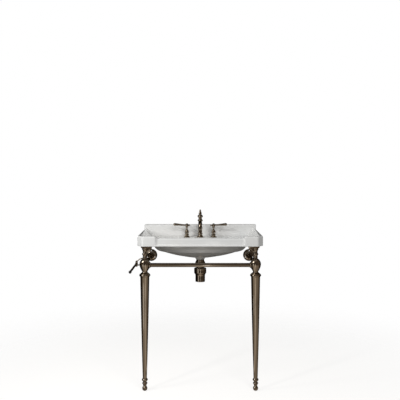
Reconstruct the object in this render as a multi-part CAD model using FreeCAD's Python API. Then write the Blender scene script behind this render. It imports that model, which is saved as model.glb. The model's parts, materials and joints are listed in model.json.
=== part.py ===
import FreeCAD, Part
import math
import os

# A ceramic console basin on two turned front legs, with three-hole taps, a pop-up waste, a bottle trap and,
# on the left, a towel arm that swings.
#
# Millimetres. X runs to the right seen from the front, Y towards the wall, Z up. Depths are measured from the
# wall's face, Y = 0, so what stands in front of it has a negative Y. Heights are written from the floor: save()
# lowers each piece by the height of the wall bolts, so the origin lies midway between the basin's two wall bolts.

V = FreeCAD.Vector

# ---- clearances ----
RUNNING_FIT = 0.05          # round a spindle or a pin that turns or slides
GAP = 0.3                   # between pieces that move past each other

# ---- stand ----
LEG_INSET = 40.5            # leg's axis, in from the basin's side
LEG_SETBACK = 60            # leg's axis behind the basin's front face
FOOT_HEIGHT = 36
FOOT_RADIUS = 14.2
FOOT_STUD_RADIUS = 5
FOOT_STUD_LENGTH = 32
LEG_LENGTH = 628.7
LEG_TOP_RADIUS = 25.3
LEG_BOTTOM_RADIUS = 11.8
LEG_SWELL = 0.85            # how far the taper bows out from a straight line
LEG_WALL = 3
COLLAR_RADIUS = 31
COLLAR_DEPTH = 31           # from the top of the taper to the top of the leg
LEG_STUD_RADIUS = 6
LEG_STUD_GRIP = 24          # how far the stud goes into the leg, and into the post
BALL_RADIUS = 30
BALL_NECK_RADIUS = 14.5
BALL_HEIGHT = 72.4
BAR_RISE = 36               # from the foot of the ball fitting to the axis of the bars
SOCKET_END = 18             # from the leg's axis to the end of a bar in its socket
CROSSBAR_RADIUS = 11.5
SIDE_TUBE_RADIUS = 10
TUBE_WALL = 2
POST_RADIUS = 12
POST_HEIGHT = 60.6
POST_BEAD = 3.3
POST_TOP_RADIUS = 20.5
PLATE_THICK = 10.3
PLATE_OUT = 20.5            # from the leg's axis, outwards
PLATE_IN = 40               # and inwards
PLATE_FRONT = 21
PLATE_BACK = 92
SCROLL_THICK = 22
SCROLL_PROUD = 2            # of a scroll's boss, each side
CORBEL_THICK = 16           # of the small web under the plate's inner end
CORBEL_DEPTH = 26
CORBEL_NOSE = 4
BRACKET_SCREW_RADIUS = 4
BRACKET_SCREW_LENGTH = 32
PAD_THICK = 1.7
FLANGE_RADIUS = 38
FLANGE_DEPTH = 31
FLANGE_PLATE = 6            # thickness behind the end of the side tube
FLANGE_BOLT_CIRCLE = 54
FLANGE_HOLE_RADIUS = 2.75
GRUB_RADIUS = 2.5
GRUB_LENGTH = 10
FLANGE_GRUB_LENGTH = 5.5
GRUB_REACH = 1              # of a grub screw's bore into the socket

# ---- towel arm ----
ARM_OFFSET = 46             # its pin, outwards from the left leg's axis
ARM_LENGTH = 316
ARM_RADIUS = 5.5
ARM_EYE_RADIUS = 7.5
ARM_EYE_HEIGHT = 10
ARM_TIP_LENGTH = 20
ARM_TIP_RADIUS = 7.3
ARM_PIN_RADIUS = 3
PIN_HEAD_RADIUS = 4.5
PIN_HEAD_HEIGHT = 1.5
PIN_FINIAL = 2              # round top of the pin, above its head
LUG_RADIUS = 6.5
LUG_HEIGHT = 7
STAY_RADIUS = 3
STAY_RING = 3.5

# ---- basin ----
WIDTH = 700
DEPTH = 500
APRON_HEIGHT = 56
UPSTAND_HEIGHT = 30
UPSTAND_THICK = 28
CANT_WIDTH = 30             # the cut front corner, sideways
CANT_DEPTH = 48             # and front to back
CORNER_RADIUS = 14
RIM_THICK = 15
RIM_ROUND = 10
TRAY_DEPTH = 44             # from the rim down to the tray
TRAY_SLOPE = 35             # how far its side walls lean in on the way down
TRAY_FRONT_SLOPE = 15       # and its front wall
TRAY_BACK_SLOPE = 6         # and its back wall
FASCIA_END = 270            # half width where the raised corner blocks end
FASCIA_BLEND = 36           # width of the slope from a block to the fascia
FASCIA_RECESS = 7
FASCIA_DIP = 11
LIP_HEIGHT = 7
BOWL_HALF_WIDTH = 274
BOWL_HALF_DEPTH = 165
BOWL_DEPTH = 98             # outside, from the tray
BOWL_CENTRE = 280           # from the wall
BOWL_WALL = 13
BOSS_RADIUS = 30
BOSS_HEIGHT = 11
DRAIN_RADIUS = 19
DUCT_HALF_WIDTH = 20
DUCT_WALL = 6
DUCT_TOP = 28               # below the tray
OVERFLOW_RADIUS = 8
OVERFLOW_MARGIN = 2         # from the overflow hole's edge to the duct's roof
HANGER_HALF_WIDTH = 200
HANGER_DROP = 65            # of the back wall below the apron
FIXING_SPACING = 280
FIXING_HOLE_RADIUS = 7
FIXING_DROP = 30            # of the wall bolts below the apron

# ---- taps ----
TAP_SPACING = 82.5
TAP_TO_BOWL = 25            # the taps' line, behind the bowl's outside
TAP_HOLE_RADIUS = 14
TAIL_RADIUS = 10.5
TAIL_LENGTH = 60            # below the tray
TAIL_BORE = 7
INLET_RADIUS = 10            # end of a tap's tail, which takes the hose
INLET_LENGTH = 15
WASHER_RADIUS = 17
WASHER_THICK = 2.5
NUT_RADIUS = 15
NUT_THICK = 8
TAP_FLANGE_RADIUS = 19
TAP_FLANGE_HEIGHT = 19
TAP_BODY_HEIGHT = 66.7
SPINDLE_RADIUS = 4
SPINDLE_LENGTH = 54
HUB_RADIUS = 10.5
HUB_HEIGHT = 14
LEVER_LENGTH = 84
LEVER_TAIL = 25
LEVER_RISE = 4              # degrees, outwards
CAP_RADIUS = 7
CAP_HEIGHT = 4.5
LINK_RISE = 24              # link tubes, above the tails' ends
LINK_RADIUS = 5
LINK_WALL = 1
LINK_NUT_RADIUS = 8
LINK_NUT_LENGTH = 9
PORT_REACH = 18             # a side port, from its axis

# ---- spout ----
SPOUT_FLANGE_RADIUS = 21
COLUMN_RADIUS = 12
COLUMN_HEIGHT = 139.5
COLUMN_TOP_RADIUS = 15.5
SPOUT_ROOT = 80             # above the tray
SPOUT_TILT = 10.4           # degrees, upwards
SPOUT_REACH = 118
SPOUT_BEND_RADIUS = 30.5
SPOUT_RADIUS = 10.5
SPOUT_WALL = 2.5
OUTLET_RADIUS = 12.5
OUTLET_HEIGHT = 8
KNOB_RADIUS = 9
KNOB_HEIGHT = 32
KNOB_TIP_RADIUS = 4.5
KNOB_TIP_HEIGHT = 4
LIFT_ROD_RADIUS = 2.5

# ---- pop-up waste ----
WASTE_FLANGE_RADIUS = 31
WASTE_FLANGE_THICK = 3
WASTE_RADIUS = 18
WASTE_WALL = 2.5
GASKET_THICK = 2
WASTE_NUT_RADIUS = 23.7
WASTE_NUT_HEIGHT = 20.7
TAIL_PIPE_RADIUS = 16
PIPE_WALL = 1.5
DIP_LENGTH = 92             # the tail pipe below the waste nut
PIVOT_DROP = 9.3            # the pivot rod's ball, below the waste nut
PIVOT_OFFSET = 26           # and behind the waste's axis
PIVOT_BALL_RADIUS = 4.5
PIVOT_PORT_RADIUS = 8
PIVOT_NUT_RADIUS = 11
PIVOT_NUT_CAP = 4           # the nut's end, past the port
PIVOT_ROD_RADIUS = 2.5
LIFT_TRAVEL = 24
STRAP_OFFSET = 5            # behind the lift rod
STRAP_WIDTH = 12
STRAP_THICK = 2
STRAP_ABOVE = 60            # above the pivot rod's hole
STRAP_HOLES = 4
STRAP_HOLE_SPACING = 9
STRAP_CLAMP = 20            # height of the block on the lift rod
STOPPER_RADIUS = 18
STOPPER_THICK = 3
STEM_RADIUS = 4
STEM_BLADE = 4              # thickness of its flat end

# ---- trap ----
TRAP_NUT_RADIUS = 22
TRAP_NUT_HEIGHT = 10
TRAP_RADIUS = 35.5
TRAP_HEAD_HEIGHT = 32
TRAP_WALL = 4
CUP_RADIUS = 28
CUP_LENGTH = 49
CUP_SHOULDER = 12
OUTLET_SPIGOT = 16          # length of the head's side spigot
OUTLET_NUT_LENGTH = 14
OUTLET_STUB = 30            # how far the outlet pipe reaches past the wall's face
OUTLET_END_RADIUS = 15.5     # its far end, which the drain's socket takes
OUTLET_END_LENGTH = 24
ROSE_RADIUS = 32
ROSE_DEPTH = 14

# ---- heights and depths that follow ----
leg_x = WIDTH / 2 - LEG_INSET
leg_y = LEG_SETBACK - DEPTH
leg_foot = FOOT_HEIGHT + GAP
leg_top = leg_foot + LEG_LENGTH
taper_top = leg_top - COLLAR_DEPTH
bar_height = leg_top + BAR_RISE
ball_top = leg_top + BALL_HEIGHT
post_top = ball_top + POST_HEIGHT
plate_top = post_top + PLATE_THICK
apron_bottom = plate_top + PAD_THICK
rim = apron_bottom + APRON_HEIGHT
tray = rim - TRAY_DEPTH
fixing_height = apron_bottom - FIXING_DROP

arm_x = -leg_x - ARM_OFFSET
eye_bottom = bar_height + LUG_HEIGHT / 2 + GAP
eye_top = eye_bottom + ARM_EYE_HEIGHT
stay_boss = eye_top + GAP

bowl_y = -BOWL_CENTRE
tap_y = bowl_y + BOWL_HALF_DEPTH + TAP_TO_BOWL
tail_end = tray - TAIL_LENGTH
deck_under = apron_bottom
hub_bottom = tray + TAP_BODY_HEIGHT + GAP
link_height = tail_end + LINK_RISE
column_top = tray + COLUMN_HEIGHT

bowl_outside = tray - BOWL_DEPTH
bowl_inside = bowl_outside + BOWL_WALL
boss_bottom = bowl_outside - BOSS_HEIGHT
flange_seat = bowl_inside - 1.5
waste_top = flange_seat + WASTE_FLANGE_THICK
nut_top = boss_bottom - GASKET_THICK
nut_bottom = nut_top - WASTE_NUT_HEIGHT
pivot_height = nut_bottom - PIVOT_DROP
pivot_y = bowl_y + PIVOT_OFFSET
port_end = PIVOT_OFFSET + 4                 # the port's end, from the waste's axis
strap_y = tap_y + STRAP_OFFSET
strap_reach = strap_y - pivot_y
pivot_tilt = math.degrees(math.atan(LIFT_TRAVEL / 2 / strap_reach))
strap_hole = pivot_height - LIFT_TRAVEL / 2
stopper_drop = PIVOT_OFFSET * LIFT_TRAVEL / strap_reach
stopper_bottom = waste_top + GAP + stopper_drop
stem_hole = pivot_height + stopper_drop / 2

dip_end = nut_bottom - DIP_LENGTH
trap_nut_top = pivot_height - PIVOT_PORT_RADIUS - 1
head_top = trap_nut_top - TRAP_NUT_HEIGHT
head_bottom = head_top - TRAP_HEAD_HEIGHT
cup_bottom = head_bottom - CUP_LENGTH
outlet_height = head_top - TRAP_HEAD_HEIGHT / 2
outlet_face = bowl_y + TRAP_RADIUS + OUTLET_SPIGOT


# ---- making solids ----
def wire(points, place):
    """Closed wire through (u, v) points; a third number bows the side that ends there, to its right."""
    edges = []
    for start, end in zip(points[-1:] + points[:-1], points):
        first = place(start[0], start[1])
        last = place(end[0], end[1])
        if len(end) == 2:
            edges.append(Part.LineSegment(first, last).toShape())
            continue
        du = end[0] - start[0]
        dv = end[1] - start[1]
        bow = end[2] / math.hypot(du, dv)
        middle = place((start[0] + end[0]) / 2 + bow * dv, (start[1] + end[1]) / 2 - bow * du)
        edges.append(Part.Arc(first, middle, last).toShape())
    return Part.Wire(edges)


def dome(radius, foot, height):
    """Last point of a turned outline that closes it with a round top, from a radius at the foot."""
    half_angle = math.atan(height / radius)
    sphere = (radius ** 2 + height ** 2) / (2 * height)
    return 0, foot + height, sphere * (1 - math.cos(half_angle))


def turned(*points):
    """Solid turned about the Z axis from an outline of (radius, height) points."""
    face = Part.Face(wire(list(points), lambda r, z: V(r, 0, z)))
    return face.revolve(V(0, 0, 0), V(0, 0, 1), 360)


def side_profile(points, x_low, x_high):
    """Solid with an outline of (depth, height) points, from one X to another."""
    face = Part.Face(wire(points, lambda y, z: V(x_low, y, z)))
    return face.extrude(V(x_high - x_low, 0, 0))


def placed(shape, x=0, y=0, z=0):
    return shape.translated(V(x, y, z))


def aimed(shape, foot, direction):
    """A piece turned about Z, with its foot at a point and its axis along a direction."""
    moved = shape.copy()
    moved.Placement = FreeCAD.Placement(V(*foot), FreeCAD.Rotation(V(0, 0, 1), V(*direction)))
    return moved


def bar(radius, foot, direction, length):
    return Part.makeCylinder(radius, length, V(*foot), V(*direction))


def tube(radius, bore, foot, direction, length):
    return bar(radius, foot, direction, length).cut(bar(bore, foot, direction, length))


def block(x, y, z):
    """Box between pairs of limits."""
    return Part.makeBox(x[1] - x[0], y[1] - y[0], z[1] - z[0], V(x[0], y[0], z[0]))


def rounded_corners(corners, radius):
    """Outline through corners, each rounded by an arc that touches both its sides."""
    points = []
    for before, corner, after in zip(corners[-1:] + corners[:-1], corners, corners[1:] + corners[:1]):
        into = V(corner[0] - before[0], corner[1] - before[1], 0).normalize()
        out = V(after[0] - corner[0], after[1] - corner[1], 0).normalize()
        turn = into.getAngle(out)
        cut = radius * math.tan(turn / 2)
        bow = radius * (1 - math.cos(turn / 2))
        side = 1 if into.cross(out).z > 0 else -1
        points.append((corner[0] - into.x * cut, corner[1] - into.y * cut))
        points.append((corner[0] + out.x * cut, corner[1] + out.y * cut, side * bow))
    return points


def hexagon(radius, height):
    """Hexagonal prism; the radius is half its width across the flats."""
    corner = radius / math.cos(math.pi / 6)
    angles = [math.radians(60 * k) for k in range(6)]
    outline = [(corner * math.cos(a), corner * math.sin(a)) for a in angles]
    return Part.Face(wire(outline, lambda x, y: V(x, y, 0))).extrude(V(0, 0, height))


def mirrored(shape):
    return shape.mirror(V(0, 0, 0), V(1, 0, 0))


def save(node, *solids):
    shape = solids[0] if len(solids) == 1 else Part.makeCompound(list(solids))
    placed(shape, z=-fixing_height).exportStep(f"parts/{node}.step")


def save_pair(node, right):
    save(f"right_{node}", right)
    save(f"left_{node}", mirrored(right))


# ---- stand ----
def levelling_foot():
    stud_top = FOOT_HEIGHT + FOOT_STUD_LENGTH
    return turned(
        (0, 0),
        (6, 0),
        (FOOT_RADIUS, 13.5, 2.3),
        (8.5, 25, 1.5),
        (9.6, 27),
        (9.8, 31, -0.3),
        (11.2, 34, -0.5),
        (11.2, FOOT_HEIGHT),
        (FOOT_STUD_RADIUS, FOOT_HEIGHT),
        (FOOT_STUD_RADIUS, stud_top),
        (0, stud_top),
    )


def leg():
    """Hollow tapered leg: two rings at its foot and a collar at its top."""
    neck = LEG_BOTTOM_RADIUS - 1.3
    taper_foot = leg_foot + 40
    outside = turned(
        (0, leg_foot),
        (neck + 1, leg_foot),
        (neck + 1, leg_foot + 1),
        (neck + 1, leg_foot + 9.5, 3.3),
        (neck, leg_foot + 12),
        (neck, leg_foot + 16.5),
        (neck + 2.5, leg_foot + 18.5),
        (neck + 2.5, leg_foot + 31, 3.5),
        (LEG_BOTTOM_RADIUS, leg_foot + 33),
        (LEG_BOTTOM_RADIUS, taper_foot),
        (LEG_TOP_RADIUS, taper_top, LEG_SWELL),
        (LEG_TOP_RADIUS + 1.5, taper_top + 3.5),
        (COLLAR_RADIUS - 3, taper_top + 4.5),
        (COLLAR_RADIUS - 2.5, taper_top + 16, 2.7),
        (BALL_NECK_RADIUS, leg_top - 1, -1),
        (BALL_NECK_RADIUS, leg_top),
        (0, leg_top),
    )
    stud_bore = FOOT_STUD_RADIUS + RUNNING_FIT
    foot_bore_top = taper_foot + 3
    hollow = turned(
        (0, leg_foot),
        (stud_bore, leg_foot),
        (stud_bore, foot_bore_top),
        (LEG_BOTTOM_RADIUS - LEG_WALL, foot_bore_top + 4),
        (LEG_TOP_RADIUS - LEG_WALL, taper_top - LEG_WALL, LEG_SWELL),
        (0, taper_top - LEG_WALL),
    )
    stud = bar(LEG_STUD_RADIUS, (0, 0, leg_top - LEG_STUD_GRIP), (0, 0, 1), LEG_STUD_GRIP)
    return outside.cut(hollow).cut(stud)


def leg_stud():
    length = 2 * LEG_STUD_GRIP + BALL_HEIGHT
    return bar(LEG_STUD_RADIUS, (0, 0, leg_top - LEG_STUD_GRIP), (0, 0, 1), length)


def ball_fitting():
    """Urn on top of the right leg, with sockets for the crossbar, towards the middle, and the side tube."""
    urn = turned(
        (0, leg_top),
        (BALL_NECK_RADIUS, leg_top),
        (BALL_RADIUS, bar_height + 2, 2.5),
        (POST_RADIUS, ball_top, 5.5),
        (0, ball_top),
    )
    socket_y = (0, SOCKET_END, bar_height)
    socket_x = (-SOCKET_END, 0, bar_height)
    urn = urn.cut(bar(SIDE_TUBE_RADIUS, socket_y, (0, 1, 0), BALL_RADIUS))
    urn = urn.cut(bar(CROSSBAR_RADIUS, socket_x, (-1, 0, 0), BALL_RADIUS))
    urn = urn.cut(bar(LEG_STUD_RADIUS, (0, 0, leg_top), (0, 0, 1), BALL_HEIGHT))
    for screw in ball_grub_screws():
        urn = urn.cut(screw)
    return urn


def ball_grub_screws():
    """The two set screws that lock the bars, from below, each reaching into the bar's space."""
    middle = (SOCKET_END + BALL_RADIUS) / 2 - 1
    across = (-middle, 0, bar_height - CROSSBAR_RADIUS + GRUB_REACH)
    back = (0, middle, bar_height - SIDE_TUBE_RADIUS + GRUB_REACH)
    return [bar(GRUB_RADIUS, foot, (0, 0, -1), GRUB_LENGTH) for foot in (across, back)]


def towel_arm_lug():
    """Lower lug of the towel arm, cast on the left ball: a short link and a bored boss."""
    low = bar_height - LUG_HEIGHT / 2
    boss = turned((0, low), (LUG_RADIUS, low), (LUG_RADIUS, low + LUG_HEIGHT), (0, low + LUG_HEIGHT))
    boss = placed(boss, x=-ARM_OFFSET)
    link = bar(LUG_HEIGHT / 2, (-BALL_RADIUS + 5, 0, bar_height), (-1, 0, 0), ARM_OFFSET - BALL_RADIUS)
    pin_bore = bar(ARM_PIN_RADIUS, (-ARM_OFFSET, 0, low), (0, 0, 1), LUG_HEIGHT)
    return boss.fuse(link).cut(pin_bore)


def post_outline():
    """Outside of the post, from its foot up."""
    bead = ball_top + 25
    return [
        (POST_RADIUS, ball_top),
        (POST_RADIUS, bead - 5.5),
        (POST_RADIUS, bead + 5.5, POST_BEAD),
        (POST_RADIUS, post_top - 19),
        (POST_TOP_RADIUS, post_top, -1.5),
    ]


def post():
    body = turned(*post_outline(), (0, post_top), (0, ball_top))
    stud = bar(LEG_STUD_RADIUS, (0, 0, ball_top), (0, 0, 1), LEG_STUD_GRIP)
    return body.cut(stud).cut(bracket_screw())


def bracket_screw():
    """Countersunk screw from the plate's top down into the post."""
    head = BRACKET_SCREW_RADIUS
    return turned(
        (0, plate_top - BRACKET_SCREW_LENGTH),
        (BRACKET_SCREW_RADIUS, plate_top - BRACKET_SCREW_LENGTH),
        (BRACKET_SCREW_RADIUS, plate_top - head),
        (BRACKET_SCREW_RADIUS + head, plate_top),
        (0, plate_top),
    )


def bracket():
    """Casting on the right post: a plate under the basin, a scroll behind the post and a corbel beside it."""
    corners = [
        (PLATE_OUT, -PLATE_FRONT),
        (PLATE_OUT, PLATE_BACK),
        (-PLATE_IN, PLATE_BACK),
        (-PLATE_IN, -PLATE_FRONT),
    ]
    plate = Part.Face(wire(rounded_corners(corners, 4), lambda x, y: V(x, y, post_top)))
    plate = plate.extrude(V(0, 0, PLATE_THICK))
    tail = PLATE_BACK - 6
    low = ball_top + 6
    high = post_top + 1
    scroll = side_profile(
        [(0, high), (0, low), (14, low), (32, low + 10, 6), (tail - 16, post_top - 22, -7), (tail, high, 11)],
        -SCROLL_THICK / 2,
        SCROLL_THICK / 2,
    )
    boss_length = SCROLL_THICK + 2 * SCROLL_PROUD
    bosses = [(tail - 10, post_top - 11, 10), (22, low + 9, 8)]
    for y, z, radius in bosses:
        scroll = scroll.fuse(bar(radius, (-boss_length / 2, y, z), (1, 0, 0), boss_length))
    nose = -PLATE_IN + 1.5
    root = post_top - CORBEL_DEPTH
    corbel_points = [
        (-8, high),
        (nose, high),
        (nose, post_top - CORBEL_NOSE),
        (nose + 6, post_top - CORBEL_NOSE - 4, 2),
        (-POST_RADIUS - 3, root, -3),
        (-8, root),
    ]
    corbel = Part.Face(wire(corbel_points, lambda x, z: V(x, -CORBEL_THICK / 2, z)))
    corbel = corbel.extrude(V(0, CORBEL_THICK, 0))
    post_solid = turned(*post_outline(), (0, post_top), (0, ball_top))
    return plate.fuse(scroll).fuse(corbel).cut(post_solid).cut(bracket_screw())


def bearing_pad():
    """Rubber sheet between the bracket's plate and the basin."""
    x = (leg_x - PLATE_IN + 2, leg_x + PLATE_OUT - 2)
    y = (leg_y - PLATE_FRONT + 2, leg_y + PLATE_BACK - 2)
    return block(x, y, (plate_top, apron_bottom))


def wall_flange():
    """Domed wall flange: Z runs out from the wall, and the side tube's end sits in its collar."""
    collar = SIDE_TUBE_RADIUS + 4.5
    body = turned(
        (0, 0),
        (FLANGE_RADIUS, 0),
        (FLANGE_RADIUS, 4),
        (FLANGE_RADIUS - 2, 7, 0.8),
        (FLANGE_RADIUS - 6, 7),
        (FLANGE_RADIUS - 9, 9.5, 0.6),
        (collar + 2, 17, -2),
        (collar, 19),
        (collar, FLANGE_DEPTH - 1),
        (collar - 1, FLANGE_DEPTH),
        (SIDE_TUBE_RADIUS, FLANGE_DEPTH),
        (SIDE_TUBE_RADIUS, FLANGE_PLATE),
        (0, FLANGE_PLATE),
    )
    for k in range(3):
        angle = math.radians(90 + 120 * k)
        foot = (FLANGE_BOLT_CIRCLE / 2 * math.cos(angle), FLANGE_BOLT_CIRCLE / 2 * math.sin(angle), 0)
        body = body.cut(bar(FLANGE_HOLE_RADIUS, foot, (0, 0, 1), FLANGE_DEPTH))
    return body


def flange_grub_screw():
    foot = (leg_x, -FLANGE_DEPTH + 6, bar_height - SIDE_TUBE_RADIUS + GRUB_REACH)
    return bar(GRUB_RADIUS, foot, (0, 0, -1), FLANGE_GRUB_LENGTH)


def make_stand():
    save_pair("foot", placed(levelling_foot(), x=leg_x, y=leg_y))
    save_pair("leg", placed(leg(), x=leg_x, y=leg_y))
    studs = [placed(leg_stud(), x=side * leg_x, y=leg_y) for side in (-1, 1)]
    save("leg_studs", *studs)
    right_ball = placed(ball_fitting(), x=leg_x, y=leg_y)
    left_ball = mirrored(right_ball).fuse(placed(towel_arm_lug(), x=-leg_x, y=leg_y))
    save("right_ball_fitting", right_ball)
    save("left_ball_fitting", left_ball)
    save_pair("post", placed(post(), x=leg_x, y=leg_y))
    save_pair("bracket", placed(bracket(), x=leg_x, y=leg_y))
    screws = [placed(bracket_screw(), x=side * leg_x, y=leg_y) for side in (-1, 1)]
    save("bracket_screws", *screws)
    save("bearing_pads", bearing_pad(), mirrored(bearing_pad()))

    crossbar_half = leg_x - SOCKET_END
    crossbar_foot = (-crossbar_half, leg_y, bar_height)
    bore = CROSSBAR_RADIUS - TUBE_WALL
    save("crossbar", tube(CROSSBAR_RADIUS, bore, crossbar_foot, (1, 0, 0), 2 * crossbar_half))
    side_length = -leg_y - SOCKET_END - FLANGE_PLATE
    side_foot = (leg_x, leg_y + SOCKET_END, bar_height)
    bore = SIDE_TUBE_RADIUS - TUBE_WALL
    save_pair("side_tube", tube(SIDE_TUBE_RADIUS, bore, side_foot, (0, 1, 0), side_length))
    flange = aimed(wall_flange(), (leg_x, 0, bar_height), (0, -1, 0)).cut(flange_grub_screw())
    save_pair("wall_flange", flange)
    crossbar_room = bar(CROSSBAR_RADIUS, (0, leg_y, bar_height), (1, 0, 0), leg_x)
    side_room = bar(SIDE_TUBE_RADIUS, (leg_x, leg_y, bar_height), (0, 1, 0), -leg_y)
    grubs = [placed(screw, x=leg_x, y=leg_y) for screw in ball_grub_screws()] + [flange_grub_screw()]
    grubs = [screw.cut(crossbar_room).cut(side_room) for screw in grubs]
    save("grub_screws", *grubs, *[mirrored(screw) for screw in grubs])


# ---- towel arm ----
def make_towel_arm():
    reach = POST_RADIUS + STAY_RING
    ring = turned(
        (POST_RADIUS, ball_top),
        (reach, ball_top),
        (reach, ball_top + 4),
        (POST_RADIUS, ball_top + 4),
    )
    ring = placed(ring, x=-leg_x, y=leg_y)
    boss_top = stay_boss + LUG_HEIGHT
    boss = turned((0, stay_boss), (LUG_RADIUS, stay_boss), (LUG_RADIUS, boss_top), (0, boss_top))
    boss = placed(boss, x=arm_x, y=leg_y)
    stem_start = V(-leg_x - reach + 1.5, leg_y, ball_top + 2)
    stem_end = V(arm_x, leg_y, stay_boss + LUG_HEIGHT / 2)
    stem_middle = (stem_start + stem_end) * 0.5 + V(1.5, 0, 2)
    route = Part.Wire([Part.Arc(stem_start, stem_middle, stem_end).toShape()])
    start_heading = route.Edges[0].tangentAt(route.Edges[0].FirstParameter)
    rim_circle = Part.Wire([Part.makeCircle(STAY_RADIUS, stem_start, start_heading)])
    stem = route.makePipeShell([rim_circle], True, True)
    pin_room = bar(ARM_PIN_RADIUS, (arm_x, leg_y, stay_boss), (0, 0, 1), LUG_HEIGHT)
    head_height = PIN_HEAD_HEIGHT + 2 * PIN_FINIAL
    head_room = bar(PIN_HEAD_RADIUS + GAP, (arm_x, leg_y, boss_top), (0, 0, 1), head_height)
    post_room = bar(POST_RADIUS, (-leg_x, leg_y, ball_top), (0, 0, 1), POST_HEIGHT)
    save("towel_arm_stay", ring.fuse(stem).fuse(boss).cut(pin_room).cut(head_room).cut(post_room))

    nut_high = bar_height - LUG_HEIGHT / 2
    finial = boss_top + PIN_HEAD_HEIGHT
    pin = turned(
        (0, nut_high - 6),
        (2.5, nut_high - 6),
        (5, nut_high - 3.5, 1),
        (5, nut_high),
        (ARM_PIN_RADIUS, nut_high),
        (ARM_PIN_RADIUS, boss_top),
        (PIN_HEAD_RADIUS, boss_top),
        (PIN_HEAD_RADIUS, finial),
        (ARM_PIN_RADIUS, finial + 1),
        dome(ARM_PIN_RADIUS, finial + 1, PIN_FINIAL),
    )
    save("towel_arm_pin", placed(pin, x=arm_x, y=leg_y))

    eye_middle = (eye_bottom + eye_top) / 2
    tip_foot = ARM_LENGTH - ARM_TIP_LENGTH
    spigot = 3
    rod = turned(
        (0, 2),
        (3.8, 2),
        (3.8, ARM_EYE_RADIUS + 1),
        (ARM_RADIUS, 40, 0.3),
        (ARM_RADIUS, tip_foot),
        (spigot, tip_foot),
        (spigot, tip_foot + 12),
        (0, tip_foot + 12),
    )
    rod = aimed(rod, (arm_x, leg_y, eye_middle), (0, -1, 0))
    eye = turned((0, eye_bottom), (ARM_EYE_RADIUS, eye_bottom), (ARM_EYE_RADIUS, eye_top), (0, eye_top))
    eye = placed(eye, x=arm_x, y=leg_y)
    eye_bore = bar(ARM_PIN_RADIUS + RUNNING_FIT, (arm_x, leg_y, eye_bottom), (0, 0, 1), ARM_EYE_HEIGHT)
    save("towel_arm", rod.fuse(eye).cut(eye_bore))
    tip = turned(
        (spigot, 0),
        (ARM_RADIUS, 0),
        (ARM_TIP_RADIUS, 6, -0.6),
        (ARM_TIP_RADIUS, ARM_TIP_LENGTH - 6, 0.4),
        dome(ARM_TIP_RADIUS, ARM_TIP_LENGTH - 6, 6),
        (0, 12),
        (spigot, 12),
    )
    save("towel_arm_tip", aimed(tip, (arm_x, leg_y - tip_foot, eye_middle), (0, -1, 0)))


# ---- basin ----
def plan(side, front, back, radius, height):
    """Outline of the basin seen from above, drawn in by an amount at its sides, front and back."""
    half = WIDTH / 2 - side
    front_half = half - CANT_WIDTH * (CANT_DEPTH - front) / CANT_DEPTH
    corners = [
        (front_half, front - DEPTH),
        (half, CANT_DEPTH - DEPTH),
        (half, -back),
        (-half, -back),
        (-half, CANT_DEPTH - DEPTH),
        (-front_half, front - DEPTH),
    ]
    return wire(rounded_corners(corners, radius), lambda x, y: V(x, y, height))


def front_section(x, recess, dip):
    """Outline of the front wall, at one X: bottom lip, fascia and rolled top."""
    back = RIM_THICK + FASCIA_RECESS + TRAY_FRONT_SLOPE - DEPTH
    face = recess - DEPTH
    top = rim - dip
    lip = apron_bottom + LIP_HEIGHT
    points = [
        (back, apron_bottom),
        (-DEPTH, apron_bottom),
        (-DEPTH, lip),
        (face, lip + 3),
        (face, top - RIM_ROUND),
        (face + RIM_ROUND, top, -RIM_ROUND * 0.29),
        (back, top),
    ]
    return wire(points, lambda y, z: V(x, y, z))


def front_wall():
    """Fascia between the raised corner blocks, with a slope to a block at each end."""
    inner = FASCIA_END - FASCIA_BLEND
    plain = Part.makeLoft([front_section(x, FASCIA_RECESS, FASCIA_DIP) for x in (-inner, inner)], True, True)
    ends = []
    for side in (-1, 1):
        block_end = front_section(side * FASCIA_END, 0.01, 0)
        fascia_end = front_section(side * inner, FASCIA_RECESS, FASCIA_DIP)
        ends.append(Part.makeLoft([block_end, fascia_end], True, True))
    return plain.fuse(ends)


def bowl(half_width, half_depth, depth):
    """Bowl below the tray: a shallow dish that is wider than it is deep."""
    dish_radius = half_width * 0.8175
    dish_top = -depth * 0.61
    dish = turned(
        (0, -depth),
        (dish_radius, dish_top, depth * 0.097),
        (half_width, 0, half_width * 0.051),
        (half_width, 0.5),
        (0, 0.5),
    )
    squeeze = FreeCAD.Matrix()
    squeeze.scale(V(1, half_depth / half_width, 1))
    return placed(dish.transformGeometry(squeeze), y=bowl_y, z=tray - 0.5)


def duct(inset):
    """Overflow duct behind the bowl, down to the outlet boss, drawn in by an amount."""
    back = bowl_y + BOWL_HALF_DEPTH + 6 - inset
    drain_edge = bowl_y + DRAIN_RADIUS - 1
    points = [
        (back, tray - DUCT_TOP - inset),
        (back, tray - DUCT_TOP - 26 + inset / 2),
        (back - 35, tray - DUCT_TOP - 56 + inset),
        (back - 92, boss_bottom + 2 + inset),
        (drain_edge, boss_bottom + 2 + inset / 2),
        (drain_edge, boss_bottom + 16),
        (back - 45, tray - DUCT_TOP - inset),
    ]
    half = DUCT_HALF_WIDTH - inset
    return side_profile(points, -half, half)


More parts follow.
